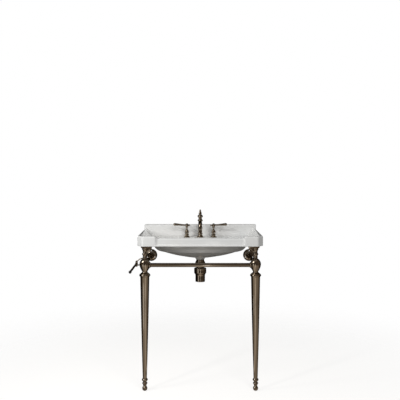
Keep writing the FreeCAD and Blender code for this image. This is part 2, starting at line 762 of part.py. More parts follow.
def basin_box():
    """The basin without its bowl: apron, rim, upstand, hanger and hollow tray."""
    slab = Part.Face(plan(0, 0, 0, CORNER_RADIUS, apron_bottom)).extrude(V(0, 0, APRON_HEIGHT))
    top_edges = [
        edge for edge in slab.Edges
        if edge.BoundBox.ZMin > rim - 1 and edge.BoundBox.YMin < -CORNER_RADIUS
    ]
    slab = slab.makeFillet(RIM_ROUND, top_edges)
    front_rim = RIM_THICK + FASCIA_RECESS
    foot_front = front_rim + TRAY_FRONT_SLOPE
    gap = block((-FASCIA_END, FASCIA_END), (-DEPTH - 1, foot_front - DEPTH), (apron_bottom - 1, rim + 1))
    body = slab.cut(gap).fuse(front_wall())

    upstand_foot = rim - RIM_ROUND - 4
    half = WIDTH / 2
    corners = [
        (-half, upstand_foot),
        (half, upstand_foot),
        (half, rim + UPSTAND_HEIGHT),
        (-half, rim + UPSTAND_HEIGHT),
    ]
    upstand = Part.Face(wire(rounded_corners(corners, 4), lambda x, z: V(x, -UPSTAND_THICK, z)))
    hanger = block(
        (-HANGER_HALF_WIDTH, HANGER_HALF_WIDTH),
        (-UPSTAND_THICK, 0),
        (apron_bottom - HANGER_DROP, apron_bottom + 1),
    )
    body = body.fuse(upstand.extrude(V(0, UPSTAND_THICK, 0))).fuse(hanger)

    tray_top = plan(RIM_THICK, front_rim, UPSTAND_THICK, CORNER_RADIUS, rim)
    tray_foot = plan(RIM_THICK + TRAY_SLOPE, foot_front, UPSTAND_THICK + TRAY_BACK_SLOPE, CORNER_RADIUS, tray)
    hollow = Part.makeLoft([tray_foot, tray_top], True, True)
    above = Part.Face(tray_top).extrude(V(0, 0, 2 * UPSTAND_HEIGHT))
    return body.cut(hollow).cut(above)


def make_basin():
    outer_bowl = bowl(BOWL_HALF_WIDTH, BOWL_HALF_DEPTH, BOWL_DEPTH)
    inner_bowl = bowl(BOWL_HALF_WIDTH - BOWL_WALL, BOWL_HALF_DEPTH - BOWL_WALL, BOWL_DEPTH - BOWL_WALL)
    boss = placed(turned(
        (0, boss_bottom),
        (BOSS_RADIUS - 5, boss_bottom),
        (BOSS_RADIUS - 2, boss_bottom + 4),
        (BOSS_RADIUS, boss_bottom + 14),
        (BOSS_RADIUS, bowl_inside),
        (0, bowl_inside),
    ), y=bowl_y)
    body = basin_box().fuse(outer_bowl).fuse(boss).fuse(duct(0)).cut(inner_bowl)
    body = body.cut(duct(DUCT_WALL).cut(outer_bowl))

    overflow_height = tray - DUCT_TOP - DUCT_WALL - OVERFLOW_MARGIN - OVERFLOW_RADIUS
    overflow = bar(OVERFLOW_RADIUS, (0, bowl_y + BOWL_HALF_DEPTH - 40, overflow_height), (0, 1, 0), 38)
    drain = bar(DRAIN_RADIUS, (0, bowl_y, boss_bottom), (0, 0, 1), BOWL_DEPTH)
    seat = bar(WASTE_FLANGE_RADIUS + 1, (0, bowl_y, flange_seat), (0, 0, 1), 8)
    body = body.cut(overflow).cut(drain).cut(seat)
    for x in (-TAP_SPACING, 0, TAP_SPACING):
        body = body.cut(bar(TAP_HOLE_RADIUS, (x, tap_y, deck_under - 1), (0, 0, 1), tray - deck_under + 2))
    for side in (-1, 1):
        foot = (side * FIXING_SPACING / 2, -UPSTAND_THICK, fixing_height)
        body = body.cut(bar(FIXING_HOLE_RADIUS, foot, (0, 1, 0), UPSTAND_THICK))
    save("basin", body)


# ---- taps ----
def tap_flange():
    top = tray + TAP_FLANGE_HEIGHT
    bore = TAIL_RADIUS
    return turned(
        (bore, tray),
        (TAP_FLANGE_RADIUS, tray),
        (TAP_FLANGE_RADIUS, tray + 2.5),
        (TAP_FLANGE_RADIUS - 3, tray + 4.5, 0.5),
        (TAP_FLANGE_RADIUS - 6.2, top - 4.5, -1.2),
        (TAP_FLANGE_RADIUS - 6.2, top, 1),
        (bore, top),
    )


def tap_body():
    """Right tap: bell above the flange, tail below the tray with a port towards the spout."""
    bell = tray + TAP_FLANGE_HEIGHT
    top = tray + TAP_BODY_HEIGHT
    bore = SPINDLE_RADIUS + RUNNING_FIT
    spindle_end = hub_bottom + HUB_HEIGHT - 4 - SPINDLE_LENGTH
    body = turned(
        (TAIL_BORE, tail_end),
        (INLET_RADIUS, tail_end),
        (INLET_RADIUS, tail_end + INLET_LENGTH),
        (TAIL_RADIUS, tail_end + INLET_LENGTH),
        (TAIL_RADIUS, bell),
        (11.6, bell),
        (11.2, bell + 16, 0.5),
        (5.8, bell + 29, -1.4),
        (5.5, top - 8),
        (8.5, top - 1, -0.8),
        (8.5, top),
        (bore, top),
        (bore, spindle_end - 1),
        (TAIL_BORE, spindle_end - 5),
    )
    port = bar(LINK_NUT_RADIUS - 1, (0, 0, link_height), (-1, 0, 0), PORT_REACH)
    port_bore = bar(LINK_RADIUS - LINK_WALL, (0, 0, link_height), (-1, 0, 0), PORT_REACH)
    waterway = bar(TAIL_BORE, (0, 0, tail_end), (0, 0, 1), 2 * LINK_RISE)
    return body.fuse(port).cut(port_bore).cut(waterway)


def lever():
    """Right lever, pointing outwards: hub, tapered arm and a small knob on the inner side."""
    top = hub_bottom + HUB_HEIGHT
    hub = turned(
        (0, hub_bottom),
        (HUB_RADIUS - 2, hub_bottom),
        (HUB_RADIUS, hub_bottom + 3, 0.6),
        (HUB_RADIUS, top - 3),
        (HUB_RADIUS - 2.5, top, 0.6),
        (0, top),
    )
    end = LEVER_LENGTH
    arm = turned(
        (0, -LEVER_TAIL),
        (4.4, -LEVER_TAIL + 4.4, 1.28),
        (2.8, -LEVER_TAIL + 9, 0.6),
        (3.4, 0),
        (3.6, 14),
        (7.8, end - 11, -0.6),
        (7, end - 5, 0.6),
        dome(7, end - 5, 5),
    )
    rise = math.radians(LEVER_RISE)
    arm = aimed(arm, (0, 0, (hub_bottom + top) / 2), (math.cos(rise), 0, math.sin(rise)))
    spindle_room = bar(SPINDLE_RADIUS, (0, 0, hub_bottom), (0, 0, 1), HUB_HEIGHT - 4)
    return hub.fuse(arm).cut(spindle_room)


def lever_cap():
    foot = hub_bottom + HUB_HEIGHT
    edge = foot + 1.2
    return turned((0, foot), (CAP_RADIUS, foot), (CAP_RADIUS, edge), dome(CAP_RADIUS, edge, CAP_HEIGHT - 1.2))


def under_deck(x):
    """Washer and back nut that clamp a tail at one X under the tray."""
    washer = tube(WASHER_RADIUS, TAIL_RADIUS, (x, tap_y, deck_under - WASHER_THICK), (0, 0, 1), WASHER_THICK)
    nut = placed(hexagon(NUT_RADIUS, NUT_THICK), x, tap_y, deck_under - WASHER_THICK - NUT_THICK)
    nut = nut.cut(bar(TAIL_RADIUS, (x, tap_y, tail_end), (0, 0, 1), TAIL_LENGTH))
    return washer, nut


def make_taps():
    save_pair("tap_flange", placed(tap_flange(), x=TAP_SPACING, y=tap_y))
    save_pair("tap_body", placed(tap_body(), x=TAP_SPACING, y=tap_y))
    spindle_top = hub_bottom + HUB_HEIGHT - 4
    spindle_foot = (TAP_SPACING, tap_y, spindle_top - SPINDLE_LENGTH)
    save_pair("tap_spindle", bar(SPINDLE_RADIUS, spindle_foot, (0, 0, 1), SPINDLE_LENGTH))
    save_pair("lever", placed(lever(), x=TAP_SPACING, y=tap_y))
    save_pair("lever_cap", placed(lever_cap(), x=TAP_SPACING, y=tap_y))

    clamps = [under_deck(x) for x in (-TAP_SPACING, 0, TAP_SPACING)]
    save("tap_washers", *[washer for washer, nut in clamps])
    save("tap_back_nuts", *[nut for washer, nut in clamps])

    length = TAP_SPACING - 2 * PORT_REACH
    bore = LINK_RADIUS - LINK_WALL
    link = tube(LINK_RADIUS, bore, (PORT_REACH, tap_y, link_height), (1, 0, 0), length)
    save_pair("link_tube", link)
    nuts = []
    for x in (PORT_REACH, TAP_SPACING - PORT_REACH - LINK_NUT_LENGTH):
        nuts.append(tube(LINK_NUT_RADIUS, LINK_RADIUS, (x, tap_y, link_height), (1, 0, 0), LINK_NUT_LENGTH))
    save("link_nuts", *nuts, *[mirrored(nut) for nut in nuts])


# ---- spout ----
def column_outline(top_point):
    """Outline of the column above the tray, up to its cap."""
    waist = tray + 62
    ring = tray + SPOUT_ROOT + 20
    return [
        (SPOUT_FLANGE_RADIUS, tray),
        (SPOUT_FLANGE_RADIUS, tray + 3),
        (SPOUT_FLANGE_RADIUS - 4, tray + 6, 0.8),
        (COLUMN_RADIUS + 1.8, tray + 15, -1.2),
        (COLUMN_RADIUS + 1.8, tray + 20, 1.2),
        (COLUMN_RADIUS, tray + 23),
        (COLUMN_RADIUS - 0.4, waist - 4),
        (COLUMN_RADIUS - 0.4, waist + 2, 1.6),
        (COLUMN_RADIUS - 0.6, ring - 5),
        (COLUMN_RADIUS - 0.6, ring + 5, 2.8),
        (COLUMN_RADIUS - 1.5, ring + 7),
        (COLUMN_RADIUS - 1.5, column_top - 22),
        (COLUMN_TOP_RADIUS, column_top - 9, -0.6),
        (COLUMN_TOP_RADIUS - 5, column_top, 1.4),
        top_point,
    ]


def spout_body():
    """Column on the tray and its tail, bored for the lift rod, with a water space between two glands."""
    rod_bore = LIFT_ROD_RADIUS + RUNNING_FIT
    space_low = link_height - LINK_RADIUS
    space_high = tray + SPOUT_ROOT + SPOUT_RADIUS
    body = turned(
        (rod_bore, tail_end),
        (TAIL_RADIUS, tail_end),
        (TAIL_RADIUS, tray),
        *column_outline((rod_bore, column_top)),
        (rod_bore, space_high),
        (TAIL_BORE, space_high),
        (TAIL_BORE, space_low),
        (rod_bore, space_low),
    )
    for side in (-1, 1):
        wall = TAIL_BORE + 1
        port = bar(LINK_NUT_RADIUS - 1, (side * wall, 0, link_height), (side, 0, 0), PORT_REACH - wall)
        port_bore = bar(LINK_RADIUS - LINK_WALL, (0, 0, link_height), (side, 0, 0), PORT_REACH)
        body = body.fuse(port).cut(port_bore)
    return body.cut(spout_sweep(SPOUT_RADIUS - SPOUT_WALL))


def spout_sweep(radius):
    """Round bar along the spout: rising forwards from the column's axis, then bent straight down."""
    rise = math.radians(SPOUT_TILT)
    run = SPOUT_REACH - SPOUT_BEND_RADIUS * (1 + math.sin(rise))
    root = tray + SPOUT_ROOT
    bend = (run, root + run * math.tan(rise))
    centre = (bend[0] + SPOUT_BEND_RADIUS * math.sin(rise), bend[1] - SPOUT_BEND_RADIUS * math.cos(rise))
    half_turn = math.radians(45 - SPOUT_TILT / 2)
    crown = (
        centre[0] + SPOUT_BEND_RADIUS * math.cos(half_turn),
        centre[1] + SPOUT_BEND_RADIUS * math.sin(half_turn),
    )
    start = V(0, 0, root)
    turn_in = V(0, -bend[0], bend[1])
    turn_middle = V(0, -crown[0], crown[1])
    turn_out = V(0, -SPOUT_REACH, centre[1])
    route = Part.Wire([
        Part.LineSegment(start, turn_in).toShape(),
        Part.Arc(turn_in, turn_middle, turn_out).toShape(),
    ])
    circle = Part.Wire([Part.makeCircle(radius, start, turn_in - start)])
    return route.makePipeShell([circle], True, False)


def spout_end():
    """Height of the spout's mouth above the floor."""
    rise = math.radians(SPOUT_TILT)
    run = SPOUT_REACH - SPOUT_BEND_RADIUS * (1 + math.sin(rise))
    return tray + SPOUT_ROOT + run * math.tan(rise) - SPOUT_BEND_RADIUS * math.cos(rise)


def make_spout():
    save("spout_body", placed(spout_body(), y=tap_y))
    column = turned((0, tray), *column_outline((0, column_top)))
    spout = spout_sweep(SPOUT_RADIUS).cut(spout_sweep(SPOUT_RADIUS - SPOUT_WALL)).cut(column)
    save("spout", placed(spout, y=tap_y))
    mouth = spout_end()
    bore = SPOUT_RADIUS - SPOUT_WALL
    ring = turned(
        (bore, mouth - OUTLET_HEIGHT),
        (OUTLET_RADIUS - 1, mouth - OUTLET_HEIGHT),
        (OUTLET_RADIUS, mouth - OUTLET_HEIGHT + 2, 0.3),
        (OUTLET_RADIUS - 0.5, mouth - 2, 0.4),
        (SPOUT_RADIUS, mouth),
        (bore, mouth),
    )
    save("spout_outlet", placed(ring, y=tap_y - SPOUT_REACH))

    foot = column_top + GAP
    rod_grip = 12
    knob = turned(
        (0, foot + rod_grip),
        (LIFT_ROD_RADIUS, foot + rod_grip),
        (LIFT_ROD_RADIUS, foot),
        (KNOB_RADIUS - 2, foot),
        (KNOB_RADIUS, foot + 3, 0.5),
        (KNOB_RADIUS - 2.4, foot + KNOB_HEIGHT / 2, 1.2),
        (KNOB_RADIUS - 3.6, foot + KNOB_HEIGHT * 2 / 3, 0.3),
        (KNOB_TIP_RADIUS, foot + KNOB_HEIGHT - KNOB_TIP_HEIGHT, 0.4),
        dome(KNOB_TIP_RADIUS, foot + KNOB_HEIGHT - KNOB_TIP_HEIGHT, KNOB_TIP_HEIGHT),
    )
    save("popup_knob", placed(knob, y=tap_y))
    rod_end = strap_hole + STRAP_ABOVE - STRAP_CLAMP - 5
    rod = bar(LIFT_ROD_RADIUS, (0, tap_y, rod_end), (0, 0, 1), foot + rod_grip - rod_end)
    save("lift_rod", rod)


# ---- pop-up waste ----
def make_strap():
    """Flat strap with a row of holes; a block at its top is clamped on the lift rod by a screw."""
    top = strap_hole + STRAP_ABOVE
    y = (strap_y - STRAP_THICK / 2, strap_y + STRAP_THICK / 2)
    strap = block((-STRAP_WIDTH / 2, STRAP_WIDTH / 2), y, (strap_hole - 5, top))
    clamp_bottom = top - STRAP_CLAMP
    clamp = block((-7, 7), (tap_y - 6, y[0]), (clamp_bottom, top))
    strap = strap.fuse(clamp)
    for k in range(STRAP_HOLES):
        foot = (0, y[0], strap_hole + STRAP_HOLE_SPACING * k)
        strap = strap.cut(bar(PIVOT_ROD_RADIUS + 0.7, foot, (0, 1, 0), STRAP_THICK))
    strap = strap.cut(bar(LIFT_ROD_RADIUS, (0, tap_y, clamp_bottom), (0, 0, 1), STRAP_CLAMP))
    screw_height = clamp_bottom + STRAP_CLAMP / 2
    thread_foot = (0, tap_y - LIFT_ROD_RADIUS, screw_height)
    screw = bar(2, thread_foot, (0, -1, 0), 8).fuse(bar(5, (0, tap_y - 6, screw_height), (0, -1, 0), 7))
    save("clevis_strap", strap.cut(bar(2, thread_foot, (0, -1, 0), 8)))
    save("clevis_screw", screw)


def make_pivot():
    """Ball rod that turns in the waste's side port: its short end lifts the stopper's stem."""
    tilt = math.radians(pivot_tilt)
    outwards = (0, math.cos(tilt), -math.sin(tilt))
    inwards = (0, -math.cos(tilt), math.sin(tilt))
    centre = (0, pivot_y, pivot_height)
    ball = Part.makeSphere(PIVOT_BALL_RADIUS, V(*centre))
    long_arm = bar(PIVOT_ROD_RADIUS, centre, outwards, strap_reach + 8)
    short_arm = bar(PIVOT_ROD_RADIUS, centre, inwards, PIVOT_OFFSET + 6)
    save("pivot_rod", ball.fuse(long_arm).fuse(short_arm))
    nut_start = WASTE_NUT_RADIUS + 1
    nut_end = port_end + PIVOT_NUT_CAP
    rod_room = PIVOT_ROD_RADIUS + 1.3
    nut = turned(
        (PIVOT_PORT_RADIUS, nut_start),
        (PIVOT_NUT_RADIUS, nut_start),
        (PIVOT_NUT_RADIUS, nut_end),
        (rod_room, nut_end),
        (rod_room, port_end),
        (PIVOT_PORT_RADIUS, port_end),
    )
    save("pivot_nut", aimed(nut, (0, bowl_y, pivot_height), (0, 1, 0)))


def make_waste():
    bore = WASTE_RADIUS - WASTE_WALL
    skirt = flange_seat - 5
    flange = turned(
        (bore, skirt),
        (WASTE_RADIUS, skirt),
        (WASTE_RADIUS, flange_seat),
        (WASTE_FLANGE_RADIUS, flange_seat),
        (WASTE_FLANGE_RADIUS - 2, waste_top, 0.8),
        (bore + 1.5, waste_top),
        (bore, waste_top - 1.5),
    )
    save("waste_flange", placed(flange, y=bowl_y))

    pipe_bore = TAIL_PIPE_RADIUS - PIPE_WALL
    body = turned(
        (pipe_bore, dip_end),
        (TAIL_PIPE_RADIUS, dip_end),
        (TAIL_PIPE_RADIUS, nut_bottom - 1),
        (WASTE_RADIUS, nut_bottom - 1),
        (WASTE_RADIUS, skirt),
        (bore, skirt),
        (bore, nut_bottom + 2),
        (pipe_bore, nut_bottom),
    )
    port_start = TAIL_PIPE_RADIUS - 1
    port = bar(PIVOT_PORT_RADIUS, (0, port_start, pivot_height), (0, 1, 0), port_end - port_start)
    body = body.fuse(port.cut(bar(pipe_bore, (0, 0, dip_end), (0, 0, 1), DIP_LENGTH)))
    ball_room = PIVOT_BALL_RADIUS + GAP
    body = body.cut(bar(ball_room, (0, PIVOT_OFFSET - 4, pivot_height), (0, 1, 0), 10))
    slot_height = (pivot_height - PIVOT_BALL_RADIUS, pivot_height + PIVOT_BALL_RADIUS)
    body = body.cut(block((-3, 3), (TAIL_PIPE_RADIUS - 4, PIVOT_OFFSET), slot_height))
    overflow_height = boss_bottom + 10
    slots = block((-WASTE_RADIUS - 1, WASTE_RADIUS + 1), (-4, 4), (overflow_height - 4, overflow_height + 4))
    across = block((-4, 4), (-WASTE_RADIUS - 1, WASTE_RADIUS + 1), (overflow_height - 4, overflow_height + 4))
    save("waste_body", placed(body.cut(slots).cut(across), y=bowl_y))

    gasket = tube(WASTE_NUT_RADIUS - 1, WASTE_RADIUS, (0, bowl_y, nut_top), (0, 0, 1), GASKET_THICK)
    save("waste_gasket", gasket)
    nut = turned(
        (WASTE_RADIUS, nut_bottom),
        (WASTE_NUT_RADIUS - 1, nut_bottom),
        (WASTE_NUT_RADIUS, nut_bottom + 1),
        (WASTE_NUT_RADIUS, nut_top - 1),
        (WASTE_NUT_RADIUS - 1, nut_top),
        (WASTE_RADIUS, nut_top),
    )
    save("waste_nut", placed(nut, y=bowl_y))

    stem_end = stem_hole - 6
    blade_top = stem_hole + 9
    stopper = turned(
        (0, stem_end),
        (STEM_RADIUS + 0.5, stem_end),
        (STEM_RADIUS + 0.5, blade_top),
        (STEM_RADIUS, blade_top),
        (STEM_RADIUS, stopper_bottom - 4),
        (bore - 2, stopper_bottom),
        (STOPPER_RADIUS - 1, stopper_bottom),
        (STOPPER_RADIUS, stopper_bottom + 1.2, 0.3),
        dome(STOPPER_RADIUS, stopper_bottom + 1.2, STOPPER_THICK),
    )
    for side in (-1, 1):
        y = sorted((side * STEM_BLADE / 2, side * 2 * STEM_RADIUS))
        stopper = stopper.cut(block((-STEM_RADIUS - 1, STEM_RADIUS + 1), y, (stem_end, blade_top)))
    eye_hole = bar(PIVOT_ROD_RADIUS + 0.6, (0, -STEM_BLADE, stem_hole), (0, 1, 0), 2 * STEM_BLADE)
    save("popup_stopper", placed(stopper.cut(eye_hole), y=bowl_y))


# ---- trap ----
def make_trap():
    collar = TRAP_NUT_RADIUS - 3
    nut = turned(
        (TAIL_PIPE_RADIUS, trap_nut_top),
        (TAIL_PIPE_RADIUS, trap_nut_top - 3),
        (collar, trap_nut_top - 3),
        (collar, head_top),
        (TRAP_NUT_RADIUS, head_top),
        (TRAP_NUT_RADIUS, trap_nut_top - 1),
        (TRAP_NUT_RADIUS - 1, trap_nut_top),
    )
    save("trap_nut", placed(nut, y=bowl_y))

    inside = TRAP_RADIUS - TRAP_WALL
    skirt = CUP_RADIUS + 1
    head = turned(
        (TAIL_PIPE_RADIUS, trap_nut_top - 3),
        (TAIL_PIPE_RADIUS, head_top - TRAP_WALL),
        (inside, head_top - TRAP_WALL),
        (inside, head_bottom + TRAP_WALL),
        (skirt - 3, head_bottom + TRAP_WALL),
        (skirt - 3, head_bottom - 6),
        (skirt, head_bottom - 6),
        (skirt, head_bottom),
        (TRAP_RADIUS - 1.5, head_bottom),
        (TRAP_RADIUS, head_bottom + 1.5),
        (TRAP_RADIUS, head_top - 1.5),
        (TRAP_RADIUS - 1.5, head_top),
        (collar, head_top),
        (collar, trap_nut_top - 3),
    )
    spigot_radius = TAIL_PIPE_RADIUS + 3
    spigot_length = outlet_face - bowl_y
    spigot_root = TRAP_RADIUS - 1
    spigot = bar(spigot_radius, (0, spigot_root, outlet_height), (0, 1, 0), spigot_length - spigot_root)
    stop = TRAP_RADIUS + 4
    waterway = TRAP_HEAD_HEIGHT / 2 - TRAP_WALL
    head = head.fuse(spigot).cut(bar(waterway, (0, 0, outlet_height), (0, 1, 0), stop))
    head = head.cut(bar(TAIL_PIPE_RADIUS, (0, stop, outlet_height), (0, 1, 0), spigot_length))
    dip_tube = bar(TAIL_PIPE_RADIUS, (0, 0, dip_end), (0, 0, 1), DIP_LENGTH)
    save("trap_body", placed(head.cut(dip_tube), y=bowl_y))

    wall = 2.5
    shoulder = head_bottom - CUP_SHOULDER
    cup = turned(
        (0, cup_bottom),
        (CUP_RADIUS - 2, cup_bottom),
        (CUP_RADIUS, cup_bottom + 2, 0.5),
        (CUP_RADIUS, shoulder),
        (TRAP_RADIUS - 2.5, head_bottom, -0.8),
        (skirt, head_bottom),
        (skirt, head_bottom - 6),
        (CUP_RADIUS - wall, head_bottom - 6),
        (CUP_RADIUS - wall, cup_bottom + 3),
        (0, cup_bottom + 3),
    )
    save("trap_cup", placed(cup, y=bowl_y))

    pipe_start = bowl_y + stop
    bore = TAIL_PIPE_RADIUS - PIPE_WALL
    length = OUTLET_STUB - pipe_start
    pipe = turned(
        (bore, 0),
        (TAIL_PIPE_RADIUS, 0),
        (TAIL_PIPE_RADIUS, length - OUTLET_END_LENGTH),
        (OUTLET_END_RADIUS, length - OUTLET_END_LENGTH),
        (OUTLET_END_RADIUS, length),
        (bore, length),
    )
    save("outlet_pipe", aimed(pipe, (0, pipe_start, outlet_height), (0, 1, 0)))
    nut_foot = spigot_length - 9
    outlet_nut = turned(
        (spigot_radius, nut_foot),
        (TRAP_NUT_RADIUS, nut_foot),
        (TRAP_NUT_RADIUS, nut_foot + OUTLET_NUT_LENGTH - 1),
        (TRAP_NUT_RADIUS - 1, nut_foot + OUTLET_NUT_LENGTH),
        (TAIL_PIPE_RADIUS, nut_foot + OUTLET_NUT_LENGTH),
        (TAIL_PIPE_RADIUS, spigot_length),
        (spigot_radius, spigot_length),
    )
    save("outlet_nut", aimed(outlet_nut, (0, bowl_y, outlet_height), (0, 1, 0)))
    rose = turned(
        (TAIL_PIPE_RADIUS, 0),
        (ROSE_RADIUS, 0),
        (ROSE_RADIUS, 2),
        (ROSE_RADIUS - 6, 7, 1.5),
        (TAIL_PIPE_RADIUS + 3, ROSE_DEPTH - 2, -1.2),
        (TAIL_PIPE_RADIUS + 3, ROSE_DEPTH),
        (TAIL_PIPE_RADIUS, ROSE_DEPTH),
    )
    save("outlet_rose", aimed(rose, (0, 0, outlet_height), (0, -1, 0)))


os.makedirs("parts", exist_ok=True)
make_stand()
make_towel_arm()
make_basin()
make_taps()
make_spout()
make_strap()
make_pivot()
make_waste()
make_trap()
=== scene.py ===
import bpy
import bmesh
import json
import math
import numpy as np
from mathutils import Matrix, Vector


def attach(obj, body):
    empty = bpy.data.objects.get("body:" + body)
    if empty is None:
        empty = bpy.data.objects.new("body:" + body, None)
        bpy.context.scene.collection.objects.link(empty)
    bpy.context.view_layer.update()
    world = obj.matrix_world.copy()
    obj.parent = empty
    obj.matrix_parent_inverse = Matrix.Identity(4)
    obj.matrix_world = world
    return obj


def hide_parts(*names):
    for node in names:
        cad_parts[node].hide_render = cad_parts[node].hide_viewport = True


# A ceramic console basin on two turned, nickel-plated front legs, dressed for its portrait.
# Sizes are millimetres, heights are from the floor and depths from the wall, as a maker's drawing gives them;
# every mesh is turned to metres and lowered to the frame's origin, midway between the basin's wall bolts.

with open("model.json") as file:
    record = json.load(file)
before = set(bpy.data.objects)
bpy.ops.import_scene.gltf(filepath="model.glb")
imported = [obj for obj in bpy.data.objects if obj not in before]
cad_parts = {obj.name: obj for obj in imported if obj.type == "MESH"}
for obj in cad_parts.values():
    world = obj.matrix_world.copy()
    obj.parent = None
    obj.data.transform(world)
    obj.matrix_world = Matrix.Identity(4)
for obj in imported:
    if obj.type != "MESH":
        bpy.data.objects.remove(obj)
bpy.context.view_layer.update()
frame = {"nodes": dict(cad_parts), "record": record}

MM = 0.001
BOLT_HEIGHT = 780           # the frame's origin, above the floor
STAND = "stand_and_basin"


# ---- finishes ----
def paint(hex_code, alpha=1.0):
    """sRGB hex to the linear colour that the shaders take."""
    parts = [int(hex_code[k:k + 2], 16) / 255 for k in (1, 3, 5)]
    linear = [c / 12.92 if c <= 0.04045 else ((c + 0.055) / 1.055) ** 2.4 for c in parts]
    return (*linear, alpha)


def feed(tree, node, inputs):
    """Sets a node's inputs: each is a plain value, or (node, output) for a link."""
    for socket, value in inputs.items():
        if isinstance(value, tuple) and isinstance(value[0], bpy.types.Node):
            tree.links.new(value[0].outputs[value[1]], node.inputs[socket])
        else:
            node.inputs[socket].default_value = value


def add(tree, kind, settings=None, inputs=None):
    """Adds one node."""
    made = tree.nodes.new(kind)
    for name, value in (settings or {}).items():
        setattr(made, name, value)
    feed(tree, made, inputs or {})
    return made


def finish(name, shader, pattern):
    """A material with a Principled shader, fed by what pattern(tree, place) draws."""
    made = bpy.data.materials.new(name)
    made.use_nodes = True
    tree = made.node_tree
    bsdf = tree.nodes["Principled BSDF"]
    feed(tree, bsdf, shader)
    feed(tree, bsdf, pattern(tree, (add(tree, "ShaderNodeTexCoord"), "Object")))
    return made


def blank_material(name):
    """A material with an empty node tree."""
    made = bpy.data.materials.new(name)
    made.use_nodes = True
    made.node_tree.nodes.clear()
    return made


def seen_rays(tree):
    """1 for what is seen straight, mirrored or through glass, and 0 for what lights other things."""
    path = add(tree, "ShaderNodeLightPath")
    shown = add(tree, "ShaderNodeMath", None, {0: (path, "Is Camera Ray"), 1: (path, "Is Glossy Ray")})
    return add(tree, "ShaderNodeMath", {"use_clamp": True}, {0: (shown, 0), 1: (path, "Is Transmission Ray")})


def colour_by_heading(tree, turn, stops):
    """Ramp of colours round the studio, at headings in degrees with 0 straight ahead."""
    ramp = add(tree, "ShaderNodeValToRGB", None, {0: (turn, "Result")})
    while len(ramp.color_ramp.elements) < len(stops):
        ramp.color_ramp.elements.new(1.0)
    for element, (degrees, colour) in zip(ramp.color_ramp.elements, stops):
        element.position = degrees / 360 + 0.5
        element.color = paint(colour)
    return ramp


def glaze_pattern(tree, place):
    # The glaze lies in slow waves of a few centimetres, with the faint orange peel of spraying, about 2 mm.
    waves = add(tree, "ShaderNodeTexNoise", None, {"Vector": place, "Scale": 28.0, "Detail": 2.0})
    peel = add(tree, "ShaderNodeTexNoise", None, {"Vector": place, "Scale": 420.0, "Detail": 1.0})
    slow = add(tree, "ShaderNodeBump", None, {"Height": (waves, "Fac"), "Strength": 0.02, "Distance": 0.004})
    fine = add(tree, "ShaderNodeBump", None, {
        "Height": (peel, "Fac"), "Strength": 0.03, "Distance": 0.0006, "Normal": (slow, "Normal")})
    # Where it pooled it is a shade bluer and where it ran thin a shade warmer.
    pools = add(tree, "ShaderNodeTexNoise", None, {"Vector": place, "Scale": 6.0, "Detail": 3.0})
    tint = add(tree, "ShaderNodeMix", {"data_type": "RGBA"}, {
        "Factor": (pools, "Fac"), "A": paint("#f1efeb"), "B": paint("#eff1f1")})
    gloss = add(tree, "ShaderNodeMapRange", None, {"Value": (waves, "Fac"), "To Min": 0.07, "To Max": 0.13})
    return {"Normal": (fine, "Normal"), "Base Color": (tint, "Result"), "Roughness": (gloss, "Result")}


def polish_pattern(tree, place):
    # Mop polishing leaves a haze in patches of about 15 mm and hairline marks under 1 mm wide.
    haze = add(tree, "ShaderNodeTexNoise", None, {"Vector": place, "Scale": 65.0, "Detail": 4.0})
    stretch = add(tree, "ShaderNodeMapping", None, {"Vector": place, "Scale": (1.0, 1.0, 9.0)})
    hair = add(tree, "ShaderNodeTexNoise", None, {
        "Vector": (stretch, "Vector"), "Scale": 260.0, "Detail": 3.0})
    rough = add(tree, "ShaderNodeMapRange", None, {"Value": (haze, "Fac"), "To Min": 0.05, "To Max": 0.11})
    marks = add(tree, "ShaderNodeBump", None, {"Height": (hair, "Fac"), "Strength": 0.04, "Distance": 0.0004})
    # Nickel warms where it was handled and stays greyer in the turned hollows.
    tone = add(tree, "ShaderNodeTexNoise", None, {"Vector": place, "Scale": 12.0, "Detail": 5.0})
    tint = add(tree, "ShaderNodeMix", {"data_type": "RGBA"}, {
        "Factor": (tone, "Fac"), "A": paint("#a99d8d"), "B": paint("#9e9487")})
    return {"Roughness": (rough, "Result"), "Normal": (marks, "Normal"), "Base Color": (tint, "Result")}


def turned_brass_pattern(tree, place):
    # Lathe rings about 1 mm apart, drawn coarser than the real feed so that they show.
    rings = add(tree, "ShaderNodeTexWave", {"bands_direction": "Z"}, {
        "Vector": place, "Scale": 160.0, "Distortion": 0.4})
    ring_bump = add(tree, "ShaderNodeBump", None, {
        "Height": (rings, "Fac"), "Strength": 0.12, "Distance": 0.0003})
    tarnish = add(tree, "ShaderNodeTexNoise", None, {"Vector": place, "Scale": 90.0, "Detail": 5.0})
    tint = add(tree, "ShaderNodeMix", {"data_type": "RGBA"}, {
        "Factor": (tarnish, "Fac"), "A": paint("#b28d4e"), "B": paint("#8f7243")})
    rough = add(tree, "ShaderNodeMapRange", None, {"Value": (tarnish, "Fac"), "To Min": 0.22, "To Max": 0.42})
    return {"Normal": (ring_bump, "Normal"), "Base Color": (tint, "Result"), "Roughness": (rough, "Result")}


def zinc_pattern(tree, place):
    # Zinc plating on steel: small bright crystals of about 2 mm, drawn coarser than the real ones.
    cells = add(tree, "ShaderNodeTexVoronoi", None, {"Vector": place, "Scale": 500.0})
    rough = add(tree, "ShaderNodeMapRange", None, {
        "Value": (cells, "Distance"), "To Min": 0.25, "To Max": 0.45})
    tint = add(tree, "ShaderNodeMix", {"data_type": "RGBA"}, {
        "Factor": (cells, "Distance"), "A": paint("#a3a6aa"), "B": paint("#8e9196")})
    return {"Roughness": (rough, "Result"), "Base Color": (tint, "Result")}


